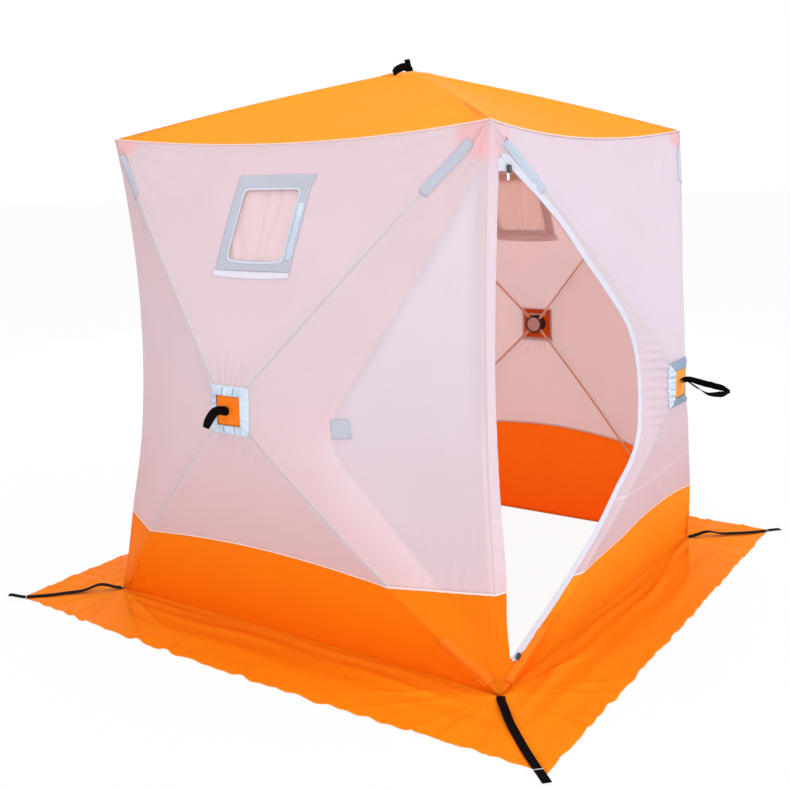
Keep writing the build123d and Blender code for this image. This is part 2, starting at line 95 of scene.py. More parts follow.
floor_half = 60.0
floor_corners = [(x * floor_half, y * floor_half, 0) for x, y in ((-1, -1), (1, -1), (1, 1), (-1, 1))]
floor_mesh = bpy.data.meshes.new("floor")
floor_mesh.from_pydata(floor_corners, [], [(0, 1, 2, 3)])
floor = bpy.data.objects.new("floor", floor_mesh)
scene.collection.objects.link(floor)
floor_paint, tree = new_material("floor_paint")
matt = add_node(tree, "BsdfDiffuse", Color=(0.82, 0.82, 0.82))
glow = add_node(tree, "Emission", Color=(1, 1, 1), Strength=1.0)
glow_share = reckon(tree, "MULTIPLY", seen_directly(tree), 0.92)
add_node(tree, "OutputMaterial", Surface=mixed(tree, glow_share, matt, glow))
floor_mesh.materials.append(floor_paint)

world = bpy.data.worlds.new("studio")
scene.world = world
world.use_nodes = True
tree = world.node_tree
tree.nodes.clear()
soft = add_node(tree, "Background", Color=(0.98, 0.99, 1.0), Strength=0.84)
white = add_node(tree, "Background", Color=(1, 1, 1), Strength=1.0)
add_node(tree, "OutputWorld", Surface=mixed(tree, seen_directly(tree), soft, white))


def soft_box(name, place, target, size, power):
    """A square lamp at a place, turned so that its face looks at the target."""
    lamp = bpy.data.lights.new(name, "AREA")
    lamp.size = size
    lamp.energy = power
    holder = bpy.data.objects.new(name, lamp)
    away = np.array(place, float) - np.array(target, float)
    away /= np.linalg.norm(away)
    across = np.cross((0.0, 0.0, 1.0), away)
    across /= np.linalg.norm(across)
    turn = np.eye(4)
    turn[:3, 0], turn[:3, 1], turn[:3, 2], turn[:3, 3] = across, np.cross(away, across), away, place
    holder.matrix_world = Matrix(turn.tolist())
    scene.collection.objects.link(holder)


soft_box("overhead_box", (-0.8, -1.2, 5.2), (0, 0, 0.8), 4.0, 90)
soft_box("door_side_box", (0.8, -5.5, 1.0), (0, 0, 0.5), 4.0, 104)
soft_box("window_side_box", (-5.3, -2.2, 1.0), (0, 0, 0.5), 4.0, 110)
soft_box("far_side_box", (4.6, 3.6, 2.0), (0, 0, 0.6), 4.0, 135)

# Camera: where the photograph was taken from, with the lens that gives its perspective.
yaw, pitch, roll = 0.9698, -0.2045, -0.023
camera_place = (-3.1014, -2.0360, 1.4001)
focal_px, photo_px = 1061.811, 790.0
ahead = np.array([np.sin(yaw) * np.cos(pitch), np.cos(yaw) * np.cos(pitch), np.sin(pitch)])
right = np.array([np.cos(yaw), -np.sin(yaw), 0.0])
up = np.cross(right, ahead)
pose = np.eye(4)
pose[:3, 0] = right * np.cos(roll) + up * np.sin(roll)
pose[:3, 1] = up * np.cos(roll) - right * np.sin(roll)
pose[:3, 2] = -ahead
pose[:3, 3] = camera_place
lens = bpy.data.cameras.new("camera")
lens.sensor_width = 36.0
lens.lens = lens.sensor_width * focal_px / photo_px
camera = bpy.data.objects.new("camera", lens)
camera.matrix_world = Matrix(pose.tolist())
scene.collection.objects.link(camera)
scene.camera = camera


# Wall skin: coated white polyester, cut as triangles and sewn together along the rods, so that each wall
# is a shallow pyramid with its hub as the point. Every wall is one height field over its own front view,
# which the panels and all that is sewn on them share.
skin = 0.001
half_base, half_top, eave_z = 0.75 + skin, 0.69 + skin, 1.53 + skin
foot_z, hub_out, half_cap = 0.0015, 0.96 + skin, 0.0425
hub_z = (foot_z + eave_z - skin) / 2
corner_bow, eave_bow, foot_bow = 0.08, 0.050, 0.004
low_bow, high_bow = 0.030, 0.010
turns = {"front": 0.0, "right": 0.5 * np.pi, "back": np.pi, "left": -0.5 * np.pi}
side_bows = {"front": 0.0, "right": 0.02, "back": 0.02, "left": 0.02}


def sag(x, half, bow):
    """Dip of a circle's arc below its chord at x: the arc spans -half..half and is deepest, bow, at x =
    0."""
    radius = (half * half + bow * bow) / (2 * bow)
    return np.sqrt(np.maximum(radius * radius - x * x, 0)) - (radius - bow)


def eave_dip(x):
    """How far the eave's arc lies below the straight eave at x, and as far inside it."""
    return sag(x, half_top, eave_bow) / np.sqrt(2)


def corner_x(z):
    """Half width of a wall at height z: the straight line from foot to eave, drawn in by the corner's
    arc, which is flatter above the foot."""
    share = np.clip((z - foot_z) / (eave_z - foot_z), 0, 1)
    line = half_base + (half_top - half_base) * share + 0.007 * bell(z, 0.3, 0.18)
    return line - sag((share - 0.5) * (eave_z - foot_z), (eave_z - foot_z) / 2, corner_bow) / np.sqrt(2)


def ridge_x(z):
    """Half width of the lower or top panel at height z: the straight rod lines from hub square to
    corners."""
    low, high = hub_z - half_cap, hub_z + half_cap
    down = half_base + (half_cap - half_base) * (z - foot_z) / (low - foot_z)
    rise = half_cap + (half_top - half_cap) * (z - high) / (eave_z - high)
    return np.where(z < low, down, np.where(z > high, rise, half_cap))


def wall_bows(wall, x):
    """How far the bent rods push a wall out below the hub and above it, and how far its top panel swells
    besides: less on the front wall's right half, which is pulled tighter."""
    tight = ease(x, -0.3, 0.3) if wall == "front" else np.zeros(np.shape(x))
    return low_bow - 0.016 * tight, high_bow * (1 - tight), 0.01 * (1 - tight)


def wall_depth(wall, x, z):
    """How far the wall's outer face stands out at front-view (x, z): cloth stretched straight from a side
    of the hub square to the bowed eave, corner or foot, found by following the ruling through the point,
    and pushed out between them by the bent rods, more below the hub than above it."""
    lower_bow, upper_bow, swell = wall_bows(wall, np.asarray(x, float))
    x, z = np.broadcast_arrays(np.abs(np.asarray(x, float)), np.asarray(z, float))
    low, high = hub_z - half_cap, hub_z + half_cap
    # top panel: t is the share across, s the share from the hub square to the eave
    t = np.clip(x / np.maximum(ridge_x(np.maximum(z, high)), 1e-6), 0, 1)
    for _ in range(8):
        dip = eave_dip(t * half_top)
        s = np.clip((z - high) / (eave_z - dip - high), 0, 1.1)
        t = x / (half_cap + (half_top - half_cap) * s)
    top = hub_out + (half_top - dip - hub_out) * s + (upper_bow + swell * (1 - t * t)) * 4 * s * (1 - s)
    # lower panel
    s = (low - z) / (low - foot_z)
    t = x / (half_cap + (half_base - half_cap) * np.clip(s, 0, 1))
    lower = hub_out + (half_base - sag(np.clip(t, 0, 1) * half_base, half_base, foot_bow) - hub_out) * s
    lower = lower + lower_bow * 4 * s * (1 - s)
    # side panel: t is the share up the corner's edge
    t = np.clip((z - foot_z) / (eave_z - foot_z), 0, 1)
    for _ in range(12):
        edge_z = foot_z + (eave_z - foot_z) * t
        edge = corner_x(edge_z)
        s = np.clip((x - half_cap) / (edge - half_cap), 0, 1.1)
        t = np.clip((z - (1 - s) * low - s * foot_z) / ((1 - s) * 2 * half_cap + s * (eave_z - foot_z)), 0, 1)
    bow = lower_bow * (1 - t) ** 2 + side_bows[wall] * 2 * t * (1 - t) + upper_bow * t**2
    side = hub_out + (edge - hub_out) * s + bow * 4 * s * (1 - s)
    inner = ridge_x(z)
    flat = np.where(z > high, top, np.where(z < low, lower, hub_out))
    return np.where(x > inner, side, flat)


def bell(value, middle, spread):
    """Smooth hump of height 1 at the middle, gone at about two spreads from it."""
    return np.exp(-(((value - middle) / spread) ** 2))


def ease(value, start, end):
    """0 before start, 1 after end, with a smooth rise between."""
    share = np.clip((value - start) / (end - start), 0, 1)
    return share * share * (3 - 2 * share)


def soft_waves(a, b, seed, count, shortest, longest):
    """Sum of plane waves over (a, b) with wavelengths from shortest to longest, scaled to about -1..1."""
    dice = np.random.default_rng(seed)
    total = np.zeros(np.broadcast(a, b).shape)
    for _ in range(count):
        length = shortest * (longest / shortest) ** dice.random()
        course = dice.random() * 2 * np.pi
        total += np.sin(2 * np.pi * (a * np.cos(course) + b * np.sin(course)) / length + dice.random() * 6.28)
    return total / np.sqrt(count * 2)


def wall_folds(wall, x, z):
    """Folds of the stretched cloth, outwards in metres: fans from the eave and foot corners and from the
    hub, uneven fine ripples, and long soft swells, all gone at the wall's edges and on the hub square."""
    seed = list(turns).index(wall) + 11
    total = 0.0020 * soft_waves(x, z, seed, 6, 0.25, 0.8)
    total += 0.0004 * soft_waves(x, z, seed + 20, 8, 0.05, 0.12)
    stray = soft_waves(x, z, seed + 30, 5, 0.15, 0.4)
    for side in (-1, 1):
        away, angle = np.hypot(x - side * half_top, z - eave_z), np.arctan2(eave_z - z, half_top - side * x)
        total += 0.0028 * bell(away, 0.07, 0.06) * np.sin(23 * angle + seed + side + stray)
        total += 0.0013 * bell(away, 0.22, 0.16) * np.sin(30 * angle + 2 * seed - side + 2 * stray)
        away, angle = np.hypot(x - side * half_base, z - foot_z), np.arctan2(z - foot_z, half_base - side * x)
        total += 0.0022 * bell(away, 0.10, 0.12) * np.sin(17 * angle + 3 * seed + side + stray)
    away, angle = np.hypot(x, z - hub_z), np.arctan2(z - hub_z, x)
    total += 0.0016 * bell(away, 0.10, 0.05) * np.sin(26 * angle + seed + stray)
    if wall == "left":
        low = bell(x, 0.60, 0.11) * bell(z, 0.30, 0.22)
        high = bell(x, 0.57, 0.09) * bell(z, 1.12, 0.25)
        total += 0.0015 * low * np.sin(2 * np.pi * (x + 0.10 * z) / 0.032 + 1.5 * stray)
        total += 0.0011 * high * np.sin(2 * np.pi * (x - 0.05 * z) / 0.026 + 1.5 * stray)
    if wall == "front":
        pull = bell(x, -0.115, 0.05) * bell(z, 0.765, 0.17)
        total += 0.0036 * pull * np.sin(2 * np.pi * (z + 0.06 * x) / 0.027 + 1.2 * stray)
    eave = eave_z - eave_dip(np.clip(x, -half_top, half_top)) - z
    edge = np.minimum(np.minimum(corner_x(z) - np.abs(x), eave), z - foot_z)
    from_hub = np.maximum(np.abs(x), np.abs(z - hub_z))
    return total * ease(edge, 0.0, 0.02) * ease(from_hub, half_cap, half_cap + 0.02)


def on_wall(wall, x, z, lift=0.0):
    """Points of a wall's outer face at front-view (x, z), raised by lift along the face's normal and turned
    round the hut's upright axis to the wall's place."""
    step = 0.002

    def out_at(a, b):
        return wall_depth(wall, a, b) + wall_folds(wall, a, b)

    y = -out_at(x, z)
    slope_x = (out_at(x + step, z) - out_at(x - step, z)) / (2 * step)
    slope_z = (out_at(x, z + step) - out_at(x, z - step)) / (2 * step)
    size = np.sqrt(1 + slope_x**2 + slope_z**2)
    lift = lift / size
    points = np.stack([x - slope_x * lift, y - lift, z - slope_z * lift], -1)
    return turned(points, turns[wall])


def turned(points, angle):
    """Points turned about the hut's upright axis by an angle in radians."""
    c, s = np.cos(angle), np.sin(angle)
    return points @ np.array([[c, s, 0], [-s, c, 0], [0, 0, 1]])


def grid_faces(rows, columns, start=0, around=False):
    """Quads of a grid of points stored row by row; around closes each row on itself."""
    index = start + np.arange(rows * columns).reshape(rows, columns)
    if around:
        index = np.hstack([index, index[:, :1]])
    return np.stack([index[:-1, :-1], index[:-1, 1:], index[1:, 1:], index[1:, :-1]], -1).reshape(-1, 4)


def piece_from_grids(name, grids, cloth_uv=None, around=False, painted_shading=None):
    """One mesh object from several grids of points (rows, columns, 3), with smooth faces, a UV map in
    metres where cloth_uv gives one (rows, columns, 2) array for each grid, and at each point a painted
    shading value, which materials read as painted light and shade."""
    points, faces, start = [], [], 0
    for grid in grids:
        rows, columns = grid.shape[:2]
        points.append(grid.reshape(-1, 3))
        faces.append(grid_faces(rows, columns, start, around))
        start += rows * columns
    points, faces = np.concatenate(points), np.concatenate(faces)
    mesh = bpy.data.meshes.new(name)
    mesh.from_pydata(points.tolist(), [], faces.tolist())
    mesh.polygons.foreach_set("use_smooth", np.ones(len(faces), bool))
    if cloth_uv is not None:
        flat = np.concatenate([uv.reshape(-1, 2) for uv in cloth_uv])
        layer = mesh.uv_layers.new(name="cloth")
        layer.data.foreach_set("uv", flat[faces.reshape(-1)].astype(np.float32).reshape(-1))
    if painted_shading is not None:
        shade = np.concatenate([part.reshape(-1) for part in painted_shading])
        mesh.attributes.new("painted_shading", "FLOAT", "POINT").data.foreach_set("value", shade.astype(np.float32))
    mesh.update()
    piece = bpy.data.objects.new(name, mesh)
    scene.collection.objects.link(piece)
    return piece


def sewn(piece, material, thickness, nodes=(), inside=None):
    """Gives a cloth piece its thickness inwards, its material, that of its inner face, and its place on
    the hut."""
    piece.data.materials.append(material)
    piece.data.materials.append(inside or material)
    layer = piece.modifiers.new("thickness", "SOLIDIFY")
    layer.thickness = thickness
    layer.offset = -1.0
    layer.material_offset = 1
    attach(piece, "root")
    if nodes:
        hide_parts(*nodes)
    return piece


def fade(tree, value, start, end):
    """Socket that goes smoothly from 1 where the value is at start to 0 where it is at end."""
    spans = {"From_Min": start, "From_Max": end, "To_Min": 1.0, "To_Max": 0.0}
    node = add_node(tree, "MapRange", {"interpolation_type": "SMOOTHSTEP"}, Value=value, **spans)
    return node.outputs["Result"]


def stain(tree, base, colour, share, strength=1.0):
    """Colour socket: the base, mixed with a colour by a share from 0 to 1 times a strength."""
    share = reckon(tree, "MULTIPLY", share, strength)
    return add_node(tree, "Mix", {"data_type": "RGBA"}, Factor=share, A=base, B=colour).outputs["Result"]


def tinted(tree, share, dark, light, first=0.0, last=1.0):
    """Colour socket that goes from a dark to a light colour while a share goes from first to last."""
    ramp = add_node(tree, "ValToRGB", Fac=share)
    for stop, place, colour in zip(ramp.color_ramp.elements, (first, last), (dark, light)):
        stop.position = place
        stop.color = (*colour, 1)
    return ramp.outputs["Color"]


def cloth_place(tree):
    """Sockets of the place on the cloth, across and up, in metres, from its UV."""
    split = add_node(tree, "SeparateXYZ", Vector=add_node(tree, "TexCoord").outputs["UV"])
    return split.outputs["X"], split.outputs["Y"]


def painted_shading_value(tree):
    """Socket of the painted shading value that a piece has at each point: painted light on the left wall
    where the flap hangs behind, and painted shade in the valleys of gathers.
    """
    return add_node(tree, "Attribute", {"attribute_name": "painted_shading"}).outputs["Fac"]


def wall_marks_and_painted_light(tree, base):
    """What shows through white wall cloth, by its place on the wall, much of it painted light: the doubled
    seams along the rods in a blue-grey painted shade, the orange patches in the eave corners, painted
    warm light from inside and from the band below, and painted light, paler and bluer, where the flap
    hangs behind."""
    x, z = cloth_place(tree)
    x = reckon(tree, "ABSOLUTE", x)
    from_rods = []
    upper_rod, lower_rod = (half_top, eave_z, hub_z + half_cap), (half_base, foot_z, hub_z - half_cap)
    for end_x, end_z, start_z in (upper_rod, lower_rod):
        length = np.hypot(end_x - half_cap, end_z - start_z)
        dx, dz = (end_x - half_cap) / length, (end_z - start_z) / length
        a = reckon(tree, "MULTIPLY_ADD", x, dz, -half_cap * dz)
        b = reckon(tree, "MULTIPLY_ADD", z, dx, -start_z * dx)
        from_rods.append(reckon(tree, "ABSOLUTE", reckon(tree, "SUBTRACT", a, b)))
    upper_seam = fade(tree, from_rods[0], 0.0115, 0.0145)
    lower_seam = reckon(tree, "MULTIPLY", fade(tree, from_rods[1], 0.007, 0.010), 0.6)
    seam = reckon(tree, "MAXIMUM", upper_seam, lower_seam)
    across = reckon(tree, "SUBTRACT", x, half_top)
    down = reckon(tree, "SUBTRACT", z, eave_z)
    squares = [reckon(tree, "MULTIPLY", side, side) for side in (across, down)]
    from_corner = reckon(tree, "SQRT", reckon(tree, "ADD", *squares))
    # Painted warm light: pinker from 1 m down to the band, and redder just above the band.
    base = stain(tree, base, (0.64, 0.43, 0.44), fade(tree, z, 0.25, 1.0), 0.72)
    base = stain(tree, base, (0.95, 0.45, 0.40), fade(tree, z, 0.30, 0.37), 0.2)
    # Painted light where the flap hangs behind: paler and bluer.
    base = stain(tree, base, (0.86, 0.88, 1.0), painted_shading_value(tree), 0.6)
    # The doubled seams along the rods, in a blue-grey painted shade for the glow that they and the rods hold
    # back.
    base = stain(tree, base, (0.62, 0.71, 0.77), seam, 0.65)
    return stain(tree, base, (1.0, 0.60, 0.62), fade(tree, from_corner, 0.07, 0.122), 0.8)


def front_marks_and_painted_light(tree, base):
    """The same on the front wall, with a pale line across its lower part, and painted light between the
    corner and the door: a paler, bluer strip."""
    base = wall_marks_and_painted_light(tree, base)
    x, z = cloth_place(tree)
    from_line = reckon(tree, "ABSOLUTE", reckon(tree, "SUBTRACT", z, 0.47))
    # Painted light: a paler, bluer strip between the corner and the door.
    base = stain(tree, base, (0.78, 0.80, 0.92), fade(tree, x, -0.64, -0.58), 0.5)
    return stain(tree, base, (0.92, 0.90, 0.96), fade(tree, from_line, 0.002, 0.006), 0.5)


def cloth(name, colour, through, glow, roughness=0.62, variation=0.05, sheen=0.0, gloss=0.1, marks=None):
    """Coated polyester: a fine plain weave and soft crinkles as bump, faint clouds in the colour, and light
    that passes through in the glow colour by the share through. marks may stain the colour by place."""
    material, tree = new_material(name)
    place = add_node(tree, "TexCoord").outputs
    clouds = add_node(tree, "TexNoise", Vector=place["Object"], Scale=5.0, Detail=4.0, Roughness=0.6)
    shade = tinted(tree, clouds.outputs["Fac"], [c * (1 - variation) for c in colour], colour, 0.3, 0.7)
    if marks:
        shade = marks(tree, shade)
    threads = []
    for axis in "XY":
        wave = add_node(tree, "TexWave", {"bands_direction": axis}, Vector=place["UV"], Scale=390.0)
        threads.append(wave.outputs["Fac"])
    weave = add_node(tree, "Bump", Strength=0.06, Distance=0.0004, Height=reckon(tree, "MAXIMUM", *threads))
    noise = add_node(tree, "TexNoise", Vector=place["Object"], Scale=30.0, Detail=5.0)
    crinkle = add_node(tree, "Bump", Strength=0.08, Distance=0.006, Height=noise.outputs["Fac"])
    tree.links.new(weave.outputs["Normal"], crinkle.inputs["Normal"])
    normal = crinkle.outputs["Normal"]
    finish = {"Roughness": roughness, "Specular IOR Level": gloss, "Sheen Weight": sheen}
    surface = add_node(tree, "BsdfPrincipled", Base_Color=shade, Normal=normal, Sheen_Roughness=0.5, **finish)
    passing = add_node(tree, "BsdfTranslucent", Color=glow, Normal=normal)
    add_node(tree, "OutputMaterial", Surface=mixed(tree, through, surface, passing))
    return material


white_cloth = cloth("white_cloth", (0.70, 0.67, 0.76), 0.5, (0.93, 0.86, 0.89), marks=wall_marks_and_painted_light)
# The front wall's copy of the white cloth, painted cooler and less pink for the light on the front wall.
white_front_lit = cloth("white_front_lit", (0.67, 0.69, 0.83), 0.5, (0.92, 0.87, 0.92), marks=front_marks_and_painted_light)
# The inner face of the white cloth, painted salmon for the warm light inside the hut.
white_inside_warm_lit = cloth("white_inside_warm_lit", (0.95, 0.81, 0.77), 0.5, (0.98, 0.90, 0.90))
fine, wide = 60, 72
band_z = 0.285
rod_lifts = {
    "front": (0.0, 0.019, 0.034),
    "right": (0.028, 0.010, 0.040),
    "back": (0.009, 0.009, 0.030),
    "left": (0.012, 0.009, 0.030),
}


def seam_pull(wall, x, z):
    """Front-view points moved up or down near the band's seam, which the tight cloth draws up between the
    rods and down beside the corners. The rod and corner lines keep their own points."""
    rod, corner = ridge_x(z), corner_x(z)
    within = np.clip(np.abs(x) / rod, 0, 1)
    beyond = np.clip((np.abs(x) - rod) / np.maximum(corner - rod, 1e-6), 0, 1)
    door_corner_side = ((wall == "left") & (x > 0)) | ((wall == "front") & (x < 0))
    left_rod, right_rod, middle = rod_lifts[wall]
    at_rod = left_rod + (right_rod - left_rod) * ease(x / rod, -1, 1)
    at_corner = -np.where(door_corner_side, 0.014, 0.003)
    shift = at_rod * (1 - beyond) + middle * (1 - within**2) + at_corner * beyond
    moved = z + shift * ease(z, foot_z, band_z) * (1 - ease(z, band_z, band_z + 0.22))
    side = np.sign(x) * (ridge_x(moved) + beyond * (corner_x(moved) - ridge_x(moved)))
    return np.where(beyond > 0, side, x * ridge_x(moved) / rod), moved


def spread(first, last, count):
    """Points from one end to the other with the same share, one row for each value of first and last."""
    share = np.linspace(0, 1, count)
    return first[..., None] * (1 - share) + last[..., None] * share


def top_panel_view():
    """Front-view (x, z) grid of the top triangle: rows from the hub square to the bowed eave."""
    s, t = np.meshgrid(np.linspace(0, 1, fine), np.linspace(-1, 1, wide), indexing="ij")
    low = hub_z + half_cap
    dip = eave_dip(t * half_top)
    return t * (half_cap + (half_top - half_cap) * s), low + (eave_z - dip - low) * s


def lower_panel_view(first, last, rows):
    """Front-view grid of the lower triangle between two heights, rod line to rod line."""
    z = np.linspace(first, last, rows)
    x = spread(-ridge_x(z), ridge_x(z), wide)
    return x, np.broadcast_to(z[:, None], x.shape)


def side_panel_view(side, first, last, rows):
    """Front-view grid of a side triangle between two heights, from the rod lines to the corner's arc."""
    z = np.linspace(first, last, rows)
    inner, outer = ridge_x(z), np.maximum(corner_x(z), ridge_x(z))
    x = spread(-outer, -inner, 44) if side < 0 else spread(inner, outer, 44)
    return x, np.broadcast_to(z[:, None], x.shape)


def panel_piece(name, wall, views, materials, node, painted_shading=None):
    """A wall panel as one piece of stretched cloth, from its front-view grids."""
    views = [seam_pull(wall, x, z) for x, z in views]
    grids = [on_wall(wall, x, z) for x, z in views]
    piece = piece_from_grids(name, grids, [np.stack([x, z], -1) for x, z in views], painted_shading=painted_shading)
    sewn(piece, materials[0], skin, (node,), materials[1])
    return piece


def unit(vectors):
    """Vectors scaled to length 1."""
    return vectors / np.maximum(np.linalg.norm(vectors, axis=-1, keepdims=True), 1e-9)


flap_inset, flap_x, flap_z, flap_round = 0.014, 0.262, 0.705, 0.150
flap_heights = [foot_z + share * (eave_z - foot_z) for share in (0.08, 0.93)]


def flap_sides(z):
    """Inner and outer edge of the tied-back door flap at heights z: two straight legs joined by a round
    point, and an edge that runs beside the hut's corner."""
    low, high = flap_heights
    point = np.array([flap_x, flap_z])
    top = np.array([corner_x(high) - flap_inset, high])
    foot = np.array([corner_x(low) - flap_inset, low])
    up_leg, down_leg = unit(top - point), unit(foot - point)
    half_angle = np.arccos(up_leg @ down_leg) / 2
    centre = point + unit(up_leg + down_leg) * flap_round / np.sin(half_angle)
    reach = flap_round / np.tan(half_angle)
    legs = np.interp(z, [low, flap_z, high], [foot[0], flap_x, top[0]])
    round_part = centre[0] - np.sqrt(np.maximum(flap_round**2 - (z - centre[1]) ** 2, 0))
    on_round = (z > flap_z + reach * down_leg[1]) & (z < flap_z + reach * up_leg[1])
    outer = corner_x(z) - flap_inset
    return np.minimum(np.where(on_round, round_part, legs), outer - 0.002), outer


def flap_painted_light(x, z):
    """Share of painted light on the left wall at front-view (x, z) where the flap lies behind: 0.7 low
    down, rising to 1.4 near the top, with a soft edge that reaches far past the flap below 0.5 m, and 0
    elsewhere."""
    inner, outer = flap_sides(z)
    low, high = flap_heights
    within = np.minimum(np.minimum(x - inner, outer - x), np.minimum(z - low, high - z))
    soft_edge = 1 - ease(z, 0.5, 0.8)
    return ease(within, -0.012 - 0.17 * soft_edge, 0.035) * (0.7 + 0.7 * ease(z, 0.6, 1.3))


front_whites = (white_front_lit, white_inside_warm_lit)
for wall in turns:
    whites = front_whites if wall == "front" else (white_cloth, white_inside_warm_lit)
    lower = lower_panel_view(band_z, hub_z - half_cap, 40)
    panel_piece(f"{wall}_lower_cloth", wall, [lower], whites, f"{wall}_wall_lower_panel")
    if wall != "front":
        sides = [side_panel_view(side, band_z, eave_z, 90) for side in (-1, 1)]
        # Painted light on the left wall where the flap hangs behind.
        painted_shading = [flap_painted_light(x, z) for x, z in sides] if wall == "left" else None
        node = f"{wall}_wall_side_panels"
        panel_piece(f"{wall}_side_cloth", wall, sides, whites, node, painted_shading)
sides = [side_panel_view(1, band_z, eave_z, 90)]
panel_piece("front_side_cloth", "front", sides, front_whites, "front_wall_side_panel")
for wall, whites in (("front", front_whites), ("back", (white_cloth, white_inside_warm_lit))):
    node = f"{wall}_wall_top_panel"
    panel_piece(f"{wall}_top_cloth", wall, [top_panel_view()], whites, node)


# Windows: a rectangle cut in the top triangle of the left and right walls. A grey frame is sewn round it
# outside, clear film behind it, and a gathered curtain hangs inside.
window_z, window_w, window_h = 1.268, 0.208, 0.198
frame_z, frame_w, frame_h = 1.274, 0.278, 0.266


def box_loop(width, height, middle, count):
    """Points round an upright rectangle in front view, count on each side, starting at its lower left."""
    run = np.linspace(-0.5, 0.5, count, endpoint=False)
    half = np.full(count, 0.5)
    x = np.concatenate([run, half, -run, -half]) * width
    z = np.concatenate([-half, run, half, -run]) * height + middle
    return x, z


def ring_view(inner, outer, rows):
    """Front-view grid of the band between two closed outlines with the same number of points, outer row
    first."""
    share = np.linspace(1, 0, rows)[:, None]
    return inner[0] * (1 - share) + outer[0] * share, inner[1] * (1 - share) + outer[1] * share


def top_panel_loop(count):
    """Outline of the top triangle with count points on each of four sides: hub side, right rod, eave,
    left rod."""
    run = np.linspace(0, 1, count, endpoint=False)
    low = hub_z + half_cap
    eave_x = half_top * (1 - 2 * run)
    eave_line = eave_z - eave_dip(eave_x)
    rod_x = half_cap + (half_top - half_cap) * run
    rod_z = low + (eave_z - low) * run
    x = np.concatenate([half_cap * (2 * run - 1), rod_x, eave_x, -half_top + (half_top - half_cap) * run])
    z = np.concatenate([np.full(count, low), rod_z, eave_line, eave_z - (eave_z - low) * run])
    return x, z


for wall in ("left", "right"):
    x, z = ring_view(box_loop(window_w, window_h, window_z, 40), top_panel_loop(40), 50)
    piece = piece_from_grids(f"{wall}_top_cloth", [on_wall(wall, x, z)], [np.stack([x, z], -1)], around=True)
    sewn(piece, white_cloth, skin, (f"{wall}_wall_top_panel",), white_inside_warm_lit)


# Foot band: the orange strip along the bottom of every wall, joined to the white cloth by a flat seam and
# creased where the rods run behind it.
orange_cloth = cloth("orange_cloth", (1.0, 0.31, 0.006), 0.5, (1.0, 0.33, 0.010))
# The inner face of the band, painted lighter for the warm light inside the hut.
orange_inside_lit = cloth("orange_inside_lit", (1.0, 0.38, 0.04), 0.7, (1.0, 0.45, 0.05))


def front_band_marks(tree, base):
    """The redder tone of the other bands on the narrow strip between the corner and the door."""
    x, _ = cloth_place(tree)
    return stain(tree, base, (1.0, 0.28, 0.006), fade(tree, x, -0.62, -0.5))


# The front wall's band, painted lighter for the light on the front wall; the strip by the door keeps the
# other bands' tone.
orange_front_lit = cloth("orange_front_lit", (1.0, 0.44, 0.016), 0.5, (1.0, 0.40, 0.02), marks=front_band_marks)
for wall in turns:
    z = np.linspace(foot_z, band_z, 26)
    inner, outer = ridge_x(z), corner_x(z)
    parts = [spread(-inner, inner, 80), spread(inner, outer, 30)[:, 1:]]
    if wall != "front":
        parts = [spread(-outer, -inner, 30)[:, :-1], *parts]
    x = np.hstack(parts)
    view = (x, np.broadcast_to(z[:, None], x.shape))
    if wall == "front":
        front_band_view = view
    else:
        oranges = (orange_cloth, orange_inside_lit)
        panel_piece(f"{wall}_band_cloth", wall, [view], oranges, f"{wall}_wall_band")


# Door surround: what is left of the front wall's left triangle round the door opening, white above and
# orange below, with the door's outline parallel to the rods and rounded at its point.
door_inset, door_apex, door_corner = 0.026, 0.352, 0.008


def side_circle():
    """Centre and radius in front view of the arc that the left corner's edge makes."""
    x0, x1, z_mid = -half_base, -half_top, (eave_z + foot_z) / 2
    xm = -((half_base + half_top) / 2 - corner_bow / np.sqrt(2))
    a = np.array([[2 * (xm - x0), 2 * (z_mid - foot_z)], [2 * (xm - x1), 2 * (z_mid - eave_z)]])
    b = np.array([xm**2 - x0**2 + z_mid**2 - foot_z**2, xm**2 - x1**2 + z_mid**2 - eave_z**2])
    centre = np.linalg.solve(a, b)
    return centre, np.hypot(xm - centre[0], z_mid - centre[1])


def inset_line(start, end, inset):
    """A line moved to its left by inset: a point on it and its direction."""
    along = (end - start) / np.linalg.norm(end - start)
    return start + inset * np.array([-along[1], along[0]]), along


def line_meets_circle(point, along, centre, radius, near):
    """The meeting of a line and a circle that is nearest to a point."""
    to = point - centre
    b = along @ to
    root = np.sqrt(b * b - (to @ to - radius * radius))
    hits = [point + along * (-b + root), point + along * (-b - root)]
    return min(hits, key=lambda p: np.linalg.norm(p - near))


def bend(centre, start, end, count):
    """Points of the shorter arc about a centre from start to end."""
    a, b = np.arctan2(*(start - centre)[::-1]), np.arctan2(*(end - centre)[::-1])
    b = a + (b - a + np.pi) % (2 * np.pi) - np.pi
    angle = np.linspace(a, b, count)
    return centre + np.linalg.norm(start - centre) * np.stack([np.cos(angle), np.sin(angle)], -1)


def even(points, count):
    """The same line with evenly spaced points."""
    far = np.concatenate([[0], np.cumsum(np.linalg.norm(np.diff(points, axis=0), axis=1))])
    want = np.linspace(0, far[-1], count)
    return np.stack([np.interp(want, far, points[:, 0]), np.interp(want, far, points[:, 1])], -1)


def drawn(line, offset):
    """A line whose points are moved to the left of its course by an offset at each."""
    along = unit(np.gradient(line, axis=0))
    return line + offset[:, None] * np.stack([-along[:, 1], along[:, 0]], -1)


